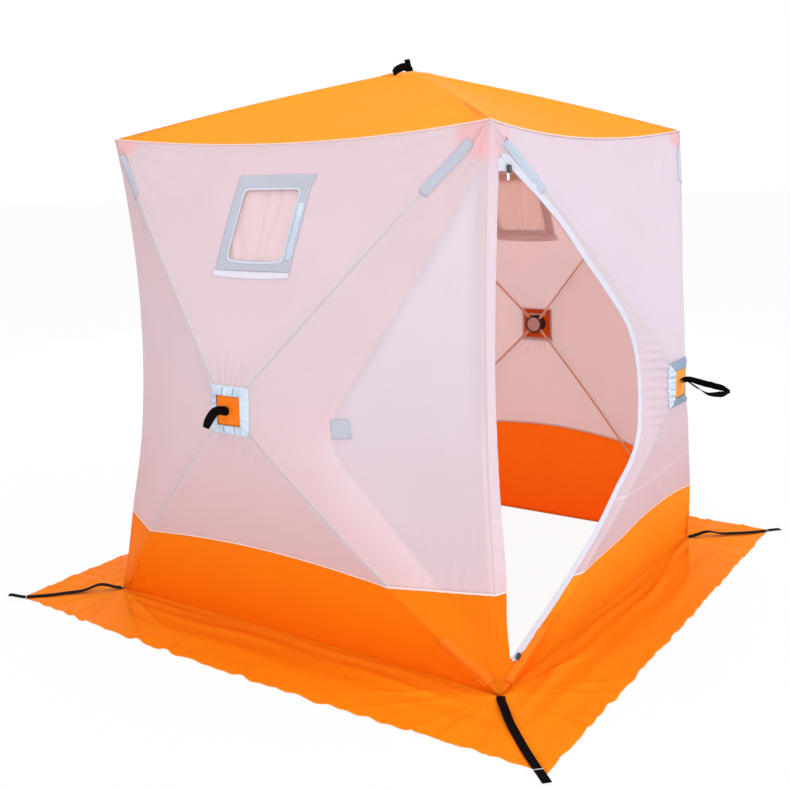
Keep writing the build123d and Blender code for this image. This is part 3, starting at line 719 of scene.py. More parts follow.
def door_sides(grow):
    """Door outline in front view, larger by grow: the straight side upwards, the upper leg down to the
    point, and the lower leg down to the foot, each a dense line; the three corners are halved between
    them. The legs are drawn a little towards the rods or away from them."""
    top, foot, hub = np.array([-half_top, eave_z]), np.array([-half_base, foot_z]), np.array([0.0, hub_z])
    inset, apex, corner = door_inset - grow, door_apex + grow, door_corner + grow
    centre, radius = side_circle()
    upper = inset_line(hub, top, inset + corner)
    lower = inset_line(foot, hub, inset + corner)
    top_bend = line_meets_circle(*upper, centre, radius + inset + corner, top)
    foot_bend = line_meets_circle(*lower, centre, radius + inset + corner, foot)
    point_up, along_up = inset_line(hub, top, inset + apex)
    point_low, along_low = inset_line(foot, hub, inset + apex)
    step = np.linalg.solve(np.stack([along_up, -along_low], -1), point_low - point_up)
    apex_bend = point_up + along_up * step[0]

    def off(middle, along, size):
        return middle + size * np.array([along[1], -along[0]])

    def toward(middle):
        return middle + corner * (centre - middle) / np.linalg.norm(centre - middle)

    top_arc = bend(top_bend, toward(top_bend), off(top_bend, along_up, corner), 9)
    apex_arc = bend(apex_bend, off(apex_bend, along_up, apex), off(apex_bend, along_low, apex), 61)
    foot_arc = bend(foot_bend, off(foot_bend, along_low, corner), toward(foot_bend), 9)
    straight = bend(centre, toward(foot_bend), toward(top_bend), 60)
    one = np.concatenate([foot_arc[4:], straight, top_arc[:5]])
    two = np.concatenate([top_arc[4:], apex_arc[:31]])
    three = np.concatenate([apex_arc[30:], foot_arc[:5]])
    one, two, three = (even(line, 400) for line in (one, two, three))
    share = np.linspace(0, 1, 400)
    two = drawn(two, 0.010 * bell(share, 0.28, 0.16) * ease(share, 0, 0.08) - 0.012 * ease(share, 0.5, 0.85))
    three = drawn(three, (0.011 * ease(share, 0.3, 0.6) - 0.012) * (1 - ease(share, 0.85, 1)))
    return [one, two, three]


def share_at_height(line, height):
    """Share of the way along a line of points at which it passes a height."""
    rising = line if line[-1, 1] > line[0, 1] else line[::-1]
    where = np.interp(height, rising[:, 1], np.linspace(0, 1, len(rising)))
    return where if line[-1, 1] > line[0, 1] else 1 - where


def matched(line, inner_band, outer_band, count):
    """Points along a panel side that keep step with the door's side, and meet the band's height
    together."""
    share = np.linspace(0, 1, count)
    share = np.interp(share, [0, inner_band, 1], [0, outer_band, 1])
    far = np.linspace(0, 1, len(line))
    return np.stack([np.interp(share, far, line[:, 0]), np.interp(share, far, line[:, 1])], -1)


def surround_views():
    """Grids of the door surround in front view: white part and orange part, split where both outlines pass
    the top of the foot band."""
    inner = door_sides(0)
    z = np.linspace(foot_z, eave_z, 400)
    edge = np.stack([-corner_x(z), z], -1)
    up = np.linspace(eave_z, hub_z + half_cap, 380)
    down = np.linspace(hub_z - half_cap, foot_z, 380)
    hub_side = np.stack([np.full(20, -half_cap), np.linspace(hub_z + half_cap, hub_z, 20)], -1)
    upper = np.concatenate([np.stack([-ridge_x(up), up], -1), hub_side[1:]])
    hub_lower = hub_side[::-1] * (1, -1) + (0, 2 * hub_z)
    lower = np.concatenate([hub_lower, np.stack([-ridge_x(down), down], -1)[1:]])
    edge_in, edge_out = share_at_height(inner[0], band_z), share_at_height(edge, band_z)
    low_in, low_out = share_at_height(inner[2], band_z), share_at_height(lower, band_z)
    count = 400
    upper = upper[np.linspace(0, len(upper) - 1, count).astype(int)]
    outer = [matched(edge, edge_in, edge_out, count), upper, matched(lower, low_in, low_out, count)]
    first, last = int(round(edge_in * (count - 1))), int(round(low_in * (count - 1)))

    def strip(a, b, rows=22):
        share = np.linspace(0, 1, rows)[:, None]
        return a[:, 0] * (1 - share) + b[:, 0] * share, a[:, 1] * (1 - share) + b[:, 1] * share

    white_in = np.concatenate([inner[0][first:], inner[1], inner[2][: last + 1]])
    white_out = np.concatenate([outer[0][first:], outer[1], outer[2][: last + 1]])
    band_in = np.concatenate([inner[2][last:], inner[0][: first + 1]])
    band_out = np.concatenate([outer[2][last:], outer[0][: first + 1]])
    keep = np.r_[0 : len(white_in) - 1 : 2, len(white_in) - 1]
    keep_band = np.r_[0 : len(band_in) - 1 : 3, len(band_in) - 1]
    return strip(white_in[keep], white_out[keep]), strip(band_in[keep_band], band_out[keep_band])


white_part, band_part = surround_views()
node = "front_wall_door_surround"
panel_piece("door_surround_cloth", "front", [white_part], front_whites, node)
views, oranges = [front_band_view, band_part], (orange_front_lit, orange_inside_lit)
panel_piece("front_band_cloth", "front", views, oranges, "front_wall_band")


# Roof: four orange triangles sewn along the roof rods, the same cloth as the band but painted brighter for
# the light from above, pulled up by the roof hub and drawn in along the eaves.
roof_rise = 0.2


def roof_marks(tree, base):
    """Orange strips sewn over the rods near the eave corners, a little darker than the roof."""
    x, y = (reckon(tree, "ABSOLUTE", axis) for axis in cloth_place(tree))
    aside = reckon(tree, "ABSOLUTE", reckon(tree, "SUBTRACT", x, y))
    ends = reckon(tree, "MULTIPLY", fade(tree, x, 0.635, 0.64), fade(tree, x, 0.515, 0.51))
    strip = reckon(tree, "MULTIPLY", fade(tree, aside, 0.013, 0.017), ends)
    return stain(tree, base, (0.92, 0.32, 0.03), strip, 0.7)


# Painted light: the band's orange cloth, brighter for the light from above.
roof_cloth = cloth("roof_cloth", (1.0, 0.54, 0.04), 0.55, (1.0, 0.55, 0.07), marks=roof_marks)


def roof_panel(turn, seed):
    """Outer face of a roof triangle: straight rulings from the hub square to the eave's arc, with soft
    swells, a fan of folds in each eave corner, and ridges that the bent rods push up between hub and
    corners."""
    s, t = np.meshgrid(np.linspace(0, 1, fine), np.linspace(1, -1, wide), indexing="ij")
    dip = eave_dip(t * half_top)
    x = t * (half_cap + (half_top - half_cap) * s)
    y = -(half_cap + (half_top - dip - half_cap) * s)
    z = (eave_z + roof_rise) * (1 - s) + (eave_z - dip) * s
    folds = 0.002 * soft_waves(x, y, seed, 6, 0.2, 0.6)
    for side in (-1, 1):
        away = np.hypot(x - side * half_top, y + half_top)
        angle = np.arctan2(y + half_top, half_top - side * x)
        folds += 0.0022 * bell(away, 0.12, 0.1) * np.sin(19 * angle + seed)
    folds *= ease(np.minimum(1 - s, 1 - np.abs(t)), 0, 0.08) * ease(s, 0, 0.05)
    ridge = 0.008 * np.sin(np.pi * s) * np.abs(t) ** 3
    return turned(np.stack([x, y, z + folds + ridge], -1), turn), np.stack([x, y], -1)


for number, (wall, turn) in enumerate(turns.items()):
    grid, uv = roof_panel(turn, 40 + number)
    piece = piece_from_grids(f"roof_{wall}_cloth", [grid], [uv])
    sewn(piece, roof_cloth, skin, (f"roof_{wall}_panel",))


# Door flap: the cloth that was cut out for the doorway, unzipped, swung inside and tied flat against the
# left wall. The paler area where it lies behind the wall is painted light, in the wall cloth's colour.
z = np.linspace(*flap_heights, 70)
inner, outer = flap_sides(z)
x = spread(inner, outer, 36)
z = np.broadcast_to(z[:, None], x.shape)
flap_swell = 0.0006 * (soft_waves(x, z, 71, 6, 0.08, 0.3) - 1.5)
grid = on_wall("left", x, z, -skin - 0.0003 + flap_swell)
piece = piece_from_grids("door_flap_cloth", [grid], [np.stack([x, z], -1)])
sewn(piece, white_cloth, skin, ("door_flap",))


# Ground skirt: one orange flap along each wall, mitred at the corners and laid on the ground. Its hem is
# gathered, so the outer edge ripples, and long soft ridges run beside the walls.
skirt_hem, skirt_skin = 0.012, 0.0015
skirt_reaches = (1.014, 0.998, 0.998, 1.042)
skirt_tips = (1.026, 0.990, 0.990, 0.988)


def skirt_marks(tree, base):
    """A brighter strip beside the wall, where the light from the band falls on the skirt."""
    _, out = cloth_place(tree)
    return stain(tree, base, (1.0, 0.31, 0.008), fade(tree, out, 0.03, 0.17))


skirt_colour, skirt_glow = (1.0, 0.275, 0.004), (1.0, 0.30, 0.01)
skirt_cloth = cloth("skirt_cloth", skirt_colour, 0.2, skirt_glow, variation=0.03, marks=skirt_marks)


def mitre_rise(v):
    """Height of the skirt along a mitre at share v of the way out: two low swells under the webbing."""
    return 0.004 * np.sin(np.pi * np.clip(v * 1.6 - 0.3, 0, 1)) ** 2


def skirt_surface(seed, reach, left_tip, right_tip):
    """Top face of the front skirt: straight lines from the hem under the wall to the outer edge's arc,
    raised by ripples that grow towards the edge, ridges along the wall and creases that fan out from the
    foot corners."""
    v, u = np.meshgrid(np.linspace(1, 0, 44), np.linspace(-1, 1, 261), indexing="ij")
    hem = half_base - skirt_hem
    middle_tip, lean = (left_tip + right_tip) / 2, (right_tip - left_tip) / 2
    near_x, far_x = hem * u, middle_tip * u + lean
    near_y = -(hem - sag(near_x, hem, foot_bow))
    far_y = -(middle_tip + lean * u + sag(u, 1.0, reach - middle_tip))
    edge = soft_waves(u, u * 0, seed, 8, 0.045, 0.2)
    middle = 1 - np.abs(u) ** 12
    far_y = far_y + 0.0025 * edge * middle
    x, y = near_x * (1 - v) + far_x * v, near_y * (1 - v) + far_y * v
    rise = 0.007 * v**3 * (1 + edge) * 0.5
    ridges = ((0.006, 0.15, 0.045, 3.0), (0.007, 0.33, 0.06, 4.3), (0.006, 0.62, 0.1, 3.6))
    for height, place, width, pace in ridges:
        swing = 0.035 * np.sin(pace * u + seed) + 0.02 * np.sin(2.7 * pace * u + 2 * seed)
        uneven = 0.65 + 0.35 * np.cos(1.7 * pace * u + place * 20 + seed)
        rise += height * bell(v + swing, place, width) * uneven
    rise += 0.0022 * ease(v, 0.1, 0.3) * (0.5 + 0.5 * soft_waves(x, y * 2.2, seed + 9, 8, 0.06, 0.3))
    for side in (-1, 1):
        away = np.hypot(x - side * half_base, y + half_base)
        angle = np.arctan2(-half_base - y, half_base - side * x)
        crease = 1 - np.abs(np.sin(8.5 * angle + 0.8 * np.sin(9 * angle + seed) + seed + side))
        rise += 0.007 * bell(away, 0.20, 0.18) * crease**3
    rise = rise * ease(v, 0.04, 0.12) + 0.010 * (1 - ease(v, 0.0, 0.16))
    rise = rise * middle + mitre_rise(v) * (1 - middle)
    return np.stack([x, y, skirt_skin + np.maximum(rise, 0)], -1), np.stack([x, v * 0.28], -1)


for number, wall in enumerate(turns):
    tips = skirt_tips[number], skirt_tips[(number + 1) % 4]
    grid, uv = skirt_surface(80 + number, skirt_reaches[number], *tips)
    piece = piece_from_grids(f"{wall}_skirt_cloth", [turned(grid, turns[wall])], [uv])
    sewn(piece, skirt_cloth, skirt_skin, (f"{wall}_skirt",))


# Hub squares: an orange cap of doubled cloth over each hub, and a pale grey patch sewn round it whose
# cloth is gathered into pleats at the cap.
hub_patch, patch_lift, patch_skin, square_sag = 0.139, 0.0021, 0.0008, 0.005
grey_cloth = cloth("grey_cloth", (0.58, 0.60, 0.69), 0.25, (0.66, 0.69, 0.78), roughness=0.5, variation=0.08)


def pleat_painted_shade(tree, base):
    """Painted blue-grey shade in the valleys between gathers, by the painted shading value at each point."""
    return stain(tree, base, (0.20, 0.27, 0.40), painted_shading_value(tree), 0.9)


def cap_painted_light(tree, base):
    """Painted light: a lighter orange on the front wall's cap."""
    place = add_node(tree, "SeparateXYZ", Vector=add_node(tree, "TexCoord").outputs["Object"])
    return stain(tree, base, (1.0, 0.40, 0.06), fade(tree, place.outputs["Y"], -0.92, -0.88), 0.85)


pale_finish = {"roughness": 0.4, "variation": 0.06, "marks": pleat_painted_shade}
pale_cloth = cloth("pale_cloth", (0.70, 0.80, 0.92), 0.2, (0.7, 0.8, 0.9), **pale_finish)
cap_cloth = cloth("cap_cloth", (1.0, 0.21, 0.010), 0.1, (1.0, 0.27, 0.02), marks=cap_painted_light)


def roof_point(x, y, lift=0.0):
    """Points of the roof's outer face above plan (x, y), raised by lift straight up: the four ruled
    triangles."""
    far, near = np.maximum(np.abs(x), np.abs(y)), np.minimum(np.abs(x), np.abs(y))
    t = np.zeros(np.shape(far))
    for _ in range(6):
        dip = eave_dip(np.clip(t, 0, 1) * half_top)
        s = np.clip((far - half_cap) / (half_top - dip - half_cap), 0, 1)
        t = near / (half_cap + (half_top - half_cap) * s)
    return np.stack([x, y, (eave_z + roof_rise) * (1 - s) + (eave_z - dip) * s + lift], -1)


def square_view(side, count):
    """Grid over a square of a given side about the hub's middle."""
    run = np.linspace(-side / 2, side / 2, count)
    return np.meshgrid(run, run)


def pleats(x, z, seed, border_shade=0.0):
    """Height and painted shade of the gathers at offsets (x, z) from the hub: folds square to the nearest
    side of the cap, highest beside the cap and gone at the patch's edge, with painted shade in the valleys
    except on the right. The last argument paints shade on the parts above and below the cap."""
    beside = np.abs(x) > np.abs(z)
    along = np.where(beside, z, x)
    out = np.maximum(np.abs(x), np.abs(z))
    uneven = 2.0 * np.sin(along * 75 + seed) + np.sin(along * 163 + 2 * seed)
    phase = along * 2 * np.pi / 0.0155 + uneven + np.where(beside, 1, 0)
    gate = ease(out, hub_patch / 2, hub_patch / 2 - 0.010) * ease(out, half_cap - 0.002, half_cap + 0.002)
    fold = np.abs(np.sin(phase / 2))
    plain = np.where(beside & (x > 0), 0.15, 1.0)
    valley = gate * (1 - fold) ** 3 * plain * (0.4 + 0.9 * np.sin(along * 60 + seed) ** 2)
    return 0.0034 * gate * plain * fold**0.7, np.clip(np.maximum(valley, np.where(beside, 0, border_shade)), 0, 1)


cap_grids, cap_uv, patch_grids, patch_uv, patch_shade = [], [], [], [], []
patch_hole = 2 * half_cap + 0.0004
patch_inner, patch_outer = (patch_hole, patch_hole, 0, 72), (hub_patch, hub_patch, 0, 72)
for number, wall in enumerate(turns):
    x, z = square_view(2 * half_cap, 14)
    puff = 0.0012 * (1 - (x / half_cap) ** 2) * (1 - (z / half_cap) ** 2)
    cap_grids.append(on_wall(wall, x, z + hub_z - square_sag, 0.0006 + puff))
    cap_uv.append(np.stack([x, z], -1))
    x, z = ring_view(box_loop(*patch_inner), box_loop(*patch_outer), 9)
    # Painted shade on the front and back patches, above and below the cap.
    height, shade = pleats(x, z, number, 0.9 if wall in ("front", "back") else 0.0)
    patch_grids.append(on_wall(wall, x, z + hub_z - square_sag, patch_lift + height))
    patch_uv.append(np.stack([x, z], -1))
    patch_shade.append(shade)
x, y = square_view(2 * half_cap, 14)
cap_grids.append(roof_point(x, y, 0.0006 + 0.0012 * (1 - (x / half_cap) ** 2) * (1 - (y / half_cap) ** 2)))
cap_uv.append(np.stack([x, y], -1))
piece = piece_from_grids("hub_cap_cloth", cap_grids, cap_uv)
sewn(piece, cap_cloth, skin, ("hub_caps",))
x, y = ring_view(box_loop(*patch_inner), box_loop(*patch_outer), 9)
roof_patch, roof_patch_uv = roof_point(x, y, patch_lift + 0.5 * pleats(x, y, 9)[0]), np.stack([x, y], -1)
hub_lining = 0.122
inside_grids, inside_uv = [], []
x, z = ring_view(box_loop(2 * half_cap, 2 * half_cap, 0, 30), box_loop(hub_lining, hub_lining, 0, 30), 6)
for wall in turns:
    inside_grids.append(on_wall(wall, x, z + hub_z, -skin - 0.0022 - 0.2 * pleats(x, z, 4)[0]))
inside_grids.append(roof_point(x, z, -skin - 0.0022))
piece = piece_from_grids("hub_lining_cloth", inside_grids, [np.stack([x, z], -1)] * 5, around=True)
sewn(piece, cloth("hub_lining", (1.0, 0.26, 0.06), 0.6, (1.0, 0.40, 0.10)), patch_skin, ("hub_linings",))
piece = piece_from_grids("hub_patch_cloth", patch_grids, patch_uv, around=True, painted_shading=patch_shade)
sewn(piece, pale_cloth, patch_skin, ("hub_patches",))
piece = piece_from_grids("roof_patch_cloth", [roof_patch], [roof_patch_uv], around=True)
sewn(piece, cloth("roof_patch", (1.0, 0.42, 0.07), 0.2, (1.0, 0.45, 0.08)), patch_skin)


# Reinforcing strips: webbing-like tape sewn over the rods near the corners, grey at the eaves and orange
# at the foot, and a small grey tie patch on the left wall that takes the flap's toggle inside.
eave_strip, foot_strip = 0.028, 0.038
tie_w, tie_h, tie_x, tie_z = 0.048, 0.053, 0.314, 0.722


def strip_view(side, corner, square, first, last, width):
    """Front-view grid of a strip along the rod from a wall's corner towards the hub square's corner,
    between two distances from the corner, with a row of points on the rod's line so that the tape can
    crease over it."""
    start, end = np.array(corner), np.array(square)
    along = (end - start) / np.linalg.norm(end - start)
    across = np.array([-along[1], along[0]])
    run, wide_run = np.linspace(first, last, 26), np.linspace(-0.5, 0.5, 11) * width
    across = across if across[0] > 0 else -across
    x = start[0] + along[0] * run[:, None] + across[0] * wide_run
    z = start[1] + along[1] * run[:, None] + across[1] * wide_run
    return (x, z) if side > 0 else (-x, z)


def outward(x, z):
    """The same grid with its columns turned round where needed, so that its faces look out of the wall."""
    turn = (x[0, 1] - x[0, 0]) * (z[1, 0] - z[0, 0]) - (z[0, 1] - z[0, 0]) * (x[1, 0] - x[0, 0])
    return (x, z) if turn > 0 else (x[:, ::-1], z[:, ::-1])


eave_line = ((half_top, eave_z), (half_cap, hub_z + half_cap), 0.070, 0.242, eave_strip)
foot_line = ((half_base, foot_z), (half_cap, hub_z - half_cap), 0.042, 0.215, foot_strip)
strip_cloth = cloth("strip_cloth", (0.55, 0.61, 0.72), 0.2, (0.6, 0.7, 0.8), roughness=0.5, variation=0.08)
foot_cloth = cloth("foot_cloth", (1.0, 0.27, 0.015), 0.3, (1.0, 0.30, 0.02))
for name, material, walls, line, node in (
    ("eave_strip_cloth", grey_cloth, ("left", "right"), eave_line, "upper_corner_strips"),
    ("door_eave_strip_cloth", strip_cloth, ("front", "back"), eave_line, ""),
    ("foot_strip_cloth", foot_cloth, tuple(turns), foot_line, "lower_corner_strips"),
):
    views = [(wall, outward(*strip_view(side, *line))) for wall in walls for side in (-1, 1)]
    area = len(views) * line[4] * (line[3] - line[2])
    if name == "eave_strip_cloth":
        across, up = np.meshgrid(np.linspace(-0.5, 0.5, 12) * tie_w, np.linspace(-0.5, 0.5, 12) * tie_h)
        views.append(("left", (tie_x + across - 0.15 * up, tie_z + up + 0.05 * across)))
        area += tie_w * tie_h
    grids = []
    for wall, (x, z) in views:
        grids.append(on_wall(wall, x, z, patch_lift + 0.0004 * soft_waves(x, z, 5, 5, 0.02, 0.08)))
    piece = piece_from_grids(name, grids, [np.stack(view, -1) for _, view in views])
    sewn(piece, material, patch_skin, (node,) if node else ())


# Door zip: white tape sewn along the two slanting sides of the opening with the coil of its teeth along
# the inner edge. It is still closed in the top corner, and two metal sliders with hanging pulls sit at
# its ends.
zip_tape, zip_overhang, zip_closed = 0.009, 0.006, 0.036
tape_finish = {"roughness": 0.55, "variation": 0.04, "sheen": 0.05}
tape_cloth = cloth("tape_cloth", (0.71, 0.72, 0.82), 0.2, (0.8, 0.8, 0.85), **tape_finish)
tape_edges = (-zip_overhang, zip_tape)
inner, outer = (np.concatenate([line[::2] for line in door_sides(grow)[1:]]) for grow in tape_edges)
share = np.linspace(0, 1, 10)[:, None]
x, z = inner[:, 0] * (1 - share) + outer[:, 0] * share, inner[:, 1] * (1 - share) + outer[:, 1] * share
run = np.concatenate([[0], np.cumsum(np.linalg.norm(np.diff(inner, axis=0), axis=1))])
rib = 0.0014 * bell(share, 0.18, 0.12) - 0.0005 * bell(share, 0.45, 0.1)
tape_uv = np.stack(np.broadcast_arrays(share * (zip_tape + zip_overhang), run), -1)
edge, leg, _ = door_sides(0)
leg = leg[np.argmax(leg[:, 1]) :][::-1]
level = np.linspace(edge[-1, 1] - zip_closed, edge[-1, 1] - 0.0004, 14)
shut_left = np.interp(level, edge[:, 1], edge[:, 0]) - 0.003
shut_right = np.interp(level, leg[:, 1], leg[:, 0]) + 0.003
shut_x = spread(shut_left, shut_right, 14)
shut_z = np.broadcast_to(level[:, None], shut_x.shape)
coil = 0.0012 + 0.0012 * bell(np.linspace(0, 1, 14), 0.5, 0.14)
grids = [on_wall("front", x, z, patch_lift + rib), on_wall("front", shut_x, shut_z, coil)]
piece = piece_from_grids("zip_tape_cloth", grids, [tape_uv, np.stack([shut_x, shut_z], -1)])
sewn(piece, tape_cloth, patch_skin, ("door_zip_tape",))


# Window trim: the grey frame with its wide top, the pale binding that edges the clear film, a white lip
# under the frame, and inside a curtain gathered towards the middle of its lower edge.
film_overlap, curtain_w, curtain_h = 0.01, 0.236, 0.236
clear_film, tree = new_material("clear_film")
ripple = add_node(tree, "TexNoise", Vector=add_node(tree, "TexCoord").outputs["Object"], Scale=18.0)
bump = add_node(tree, "Bump", Strength=0.15, Distance=0.01, Height=ripple.outputs["Fac"])
film_finish = {"Base Color": (0.93, 0.92, 0.95), "Roughness": 0.12, "Alpha": 0.13}
film = add_node(tree, "BsdfPrincipled", Normal=bump.outputs["Normal"], **film_finish)
add_node(tree, "OutputMaterial", Surface=film.outputs[0])
curtain_cloth = cloth("curtain_cloth", (0.80, 0.67, 0.71), 0.5, (0.95, 0.80, 0.82))
# The right curtain, seen from inside, is the same cloth painted lighter and warmer for the light inside the
# hut.
right_curtain_lit = cloth("right_curtain_lit", (0.88, 0.74, 0.71), 0.5, (0.97, 0.84, 0.81))


def soft_loop(grow):
    """The window's outline, larger by grow on each side, with rounded corners and a lower edge that sags
    a little."""
    x, z = box_loop(2, 2, 0, 40)
    round_off = (np.abs(x) ** 18 + np.abs(z) ** 18) ** (-1 / 18)
    x, z = x * round_off, z * round_off
    sagging = 0.006 * (1 - x * x) * np.clip(-z, 0, 1)
    return x * (window_w / 2 + grow), window_z + z * (window_h / 2 + grow) - sagging


rings, tabs, bindings, gathers, gather_shade, films, curtains, lips = ([] for _ in range(8))
opening, border = box_loop(window_w, window_h, window_z, 40), box_loop(frame_w, frame_h, frame_z, 40)
for number, wall in enumerate(("left", "right")):
    x, z = ring_view(opening, border, 8)
    rings.append((on_wall(wall, x, z, patch_lift), np.stack([x, z], -1)))
    across, up = np.meshgrid(np.linspace(0, 1, 6), np.linspace(-1, 0, 8))
    tab_x, tab_z = frame_w / 2 - 0.004 + across * (0.013 + 0.008 * up), frame_z + frame_h / 2 + up * 0.036
    tabs.append((on_wall(wall, tab_x, tab_z, patch_lift), np.stack([tab_x, tab_z], -1)))
    x, z = ring_view(soft_loop(-0.003), soft_loop(0.003), 6)
    round_edge = 0.0026 + 0.0012 * np.sin(np.linspace(0, np.pi, 6))[:, None] + 0 * x
    bindings.append((on_wall(wall, x, z, round_edge), np.stack([x, z], -1)))
    across, up = np.meshgrid(np.linspace(0, 1, 8), np.linspace(-0.48, 0.30, 90))
    gx, gz = window_w / 2 + 0.006 + across * 0.022, window_z + up * window_h
    fold = np.abs(np.sin(np.pi * (up + 0.10 * across) * window_h / 0.0105 + np.sin(40 * up)))
    puff = 0.0006 + 0.002 * fold * np.sin(np.pi * across)
    gathers.append((on_wall(wall, gx, gz, patch_lift + puff), np.stack([gx, gz], -1)))
    gather_shade.append((1 - fold) ** 2 * ease(0.30 - up, 0, 0.3))
    x, z = np.meshgrid(np.linspace(-0.5, 0.5, 24), np.linspace(-0.5, 0.5, 24))
    fx, fz = x * (window_w + 2 * film_overlap), z * (window_h + 2 * film_overlap) + window_z
    films.append((on_wall(wall, fx, fz, -skin - 0.0003), np.stack([fx, fz], -1)))
    x, z = np.meshgrid(np.linspace(-0.5, 0.5, 96), np.linspace(-0.5, 0.5, 48))
    lean = np.arctan2(x * curtain_w - 0.012, (z + 1.1) * curtain_h)
    depth = 0.5 + 0.5 * np.sin(30 * lean + 1.4 * np.sin(11 * lean + number) + number)
    diagonal = 0.3 * bell(x - 0.42 * (z + 0.5) + 0.06, 0, 0.05) * ease(0.32 - z, 0, 0.3)
    slack = (1.0, 0.4)[number]
    depth = slack * (depth - diagonal) * ease(0.5 - np.abs(x), 0, 0.08) * ease(0.5 - z, 0, 0.12)
    narrow, short = (1.0, 0.90)[number], (1.0, 0.91)[number]
    cx, cz = x * curtain_w * narrow, window_z + curtain_h * (0.5 - (0.5 - z) * short)
    curtains.append((on_wall(wall, cx, cz, -0.0040 - 0.008 * depth), np.stack([cx, cz], -1)))
    x, z = np.meshgrid(np.linspace(-0.5, 0.5, 30), np.linspace(-1, 0, 8))
    droop = 0.006 * (1 - 4 * x * x)
    lx, lz = -0.004 + x * (frame_w + 0.010), frame_z - frame_h / 2 + 0.004 + z * 0.019 - droop
    lips.append((on_wall(wall, lx, lz, 0.0012 + 0.0008 * bell(z, -0.85, 0.2)), np.stack([lx, lz], -1)))
piece = piece_from_grids("window_frame_cloth", *zip(*rings), around=True)
sewn(piece, grey_cloth, patch_skin, ("window_frames",))
piece = piece_from_grids("window_tab_cloth", *zip(*tabs))
sewn(piece, grey_cloth, patch_skin)
piece = piece_from_grids("window_binding_cloth", *zip(*bindings), around=True)
sewn(piece, tape_cloth, patch_skin)
piece = piece_from_grids("window_gather_cloth", *zip(*gathers), painted_shading=gather_shade)
sewn(piece, pale_cloth, patch_skin)
piece = piece_from_grids("window_film_sheet", *zip(*films))
sewn(piece, clear_film, 0.0008, ("window_films",))
for wall, tint, (grid, uv) in zip(("left", "right"), (curtain_cloth, right_curtain_lit), curtains):
    piece = piece_from_grids(f"{wall}_curtain_cloth", [grid], [uv])
    sewn(piece, tint, skin, ("window_curtains",) if wall == "left" else ())
piece = piece_from_grids("window_lip_cloth", *zip(*lips))
sewn(piece, cloth("lip_cloth", (0.84, 0.81, 0.91), 0.3, (0.95, 0.92, 0.98)), patch_skin)


# Eave corner patches: orange cloth sewn inside each eave corner over the pointed corner joint. They show
# through the white cloth as a warm pink.
patch_radius = 0.10
lining_cloth = cloth("lining_cloth", (0.95, 0.20, 0.03), 0.5, (1.0, 0.25, 0.05))


def corner_sector(first, last):
    """Polar grid of a patch about its corner: offsets across and away at angles between two directions."""
    r, a = np.meshgrid(np.linspace(0.014, patch_radius, 14), np.linspace(first, last, 34), indexing="ij")
    return r * np.cos(a), r * np.sin(a)


linings, lining_uv = [], []
for wall in turns:
    across, down = corner_sector(0.13, 1.45)
    for side in (-1, 1):
        x, z = side * (half_top - across), eave_z - down
        grid = on_wall(wall, x, z, -skin - 0.0032)
        linings.append(grid[:, ::-1] if side > 0 else grid)
        lining_uv.append(np.stack([across, down], -1))
    x, y = corner_sector(0.13, 0.5 * np.pi - 0.13)
    grid = turned(roof_point(x - half_top, y - half_top, -skin - 0.0018), turns[wall])
    linings.append(grid)
    lining_uv.append(np.stack([x, y], -1))
piece = piece_from_grids("eave_corner_lining", linings, lining_uv)
sewn(piece, lining_cloth, patch_skin, ("eave_corner_patches",))


# Pull straps: black webbing sewn to each hub through its cap as a loop, by which the hub is popped out.
# Each one hangs twisted under its own weight.
web_width, web_skin = 0.025, 0.002
webbing, tree = new_material("black_webbing")
place = add_node(tree, "TexCoord").outputs
waves = []
for axis, scale in (("Y", 260.0), ("X", 90.0)):
    wave = add_node(tree, "TexWave", {"bands_direction": axis}, Vector=place["UV"], Scale=scale)
    wave.inputs["Distortion"].default_value = 0.6
    waves.append(wave.outputs["Fac"])
grain = reckon(tree, "MULTIPLY", *waves)
tone = tinted(tree, grain, (0.0012, 0.0008, 0.0008), (0.006, 0.004, 0.004))
bump = add_node(tree, "Bump", Strength=0.4, Distance=0.0006, Height=grain)
web_finish = {"Base Color": tone, "Roughness": 0.85, "Specular IOR Level": 0.06}
surface = add_node(tree, "BsdfPrincipled", Normal=bump.outputs["Normal"], **web_finish)
add_node(tree, "OutputMaterial", Surface=surface.outputs[0])


def fixed(piece, material, *nodes):
    """Gives a solid piece its material and its place on the hut, instead of CAD nodes where it has any."""
    piece.data.materials.append(material)
    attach(piece, "root")
    if nodes:
        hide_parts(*nodes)


def through_points(points, count):
    """A smooth line through a few points (Catmull-Rom), count steps between each two, ends included."""
    points = np.asarray(points, float)
    padded = np.vstack([2 * points[0] - points[1], points, 2 * points[-1] - points[-2]])
    t = np.linspace(0, 1, count, endpoint=False)[:, None]
    lines = []
    for a, b, c, d in zip(padded[:-3], padded[1:-2], padded[2:-1], padded[3:]):
        square, cube = 2 * a - 5 * b + 4 * c - d, 3 * b - a - 3 * c + d
        lines.append(0.5 * (2 * b + (c - a) * t + square * t**2 + cube * t**3))
    return np.vstack([*lines, points[-1:]])


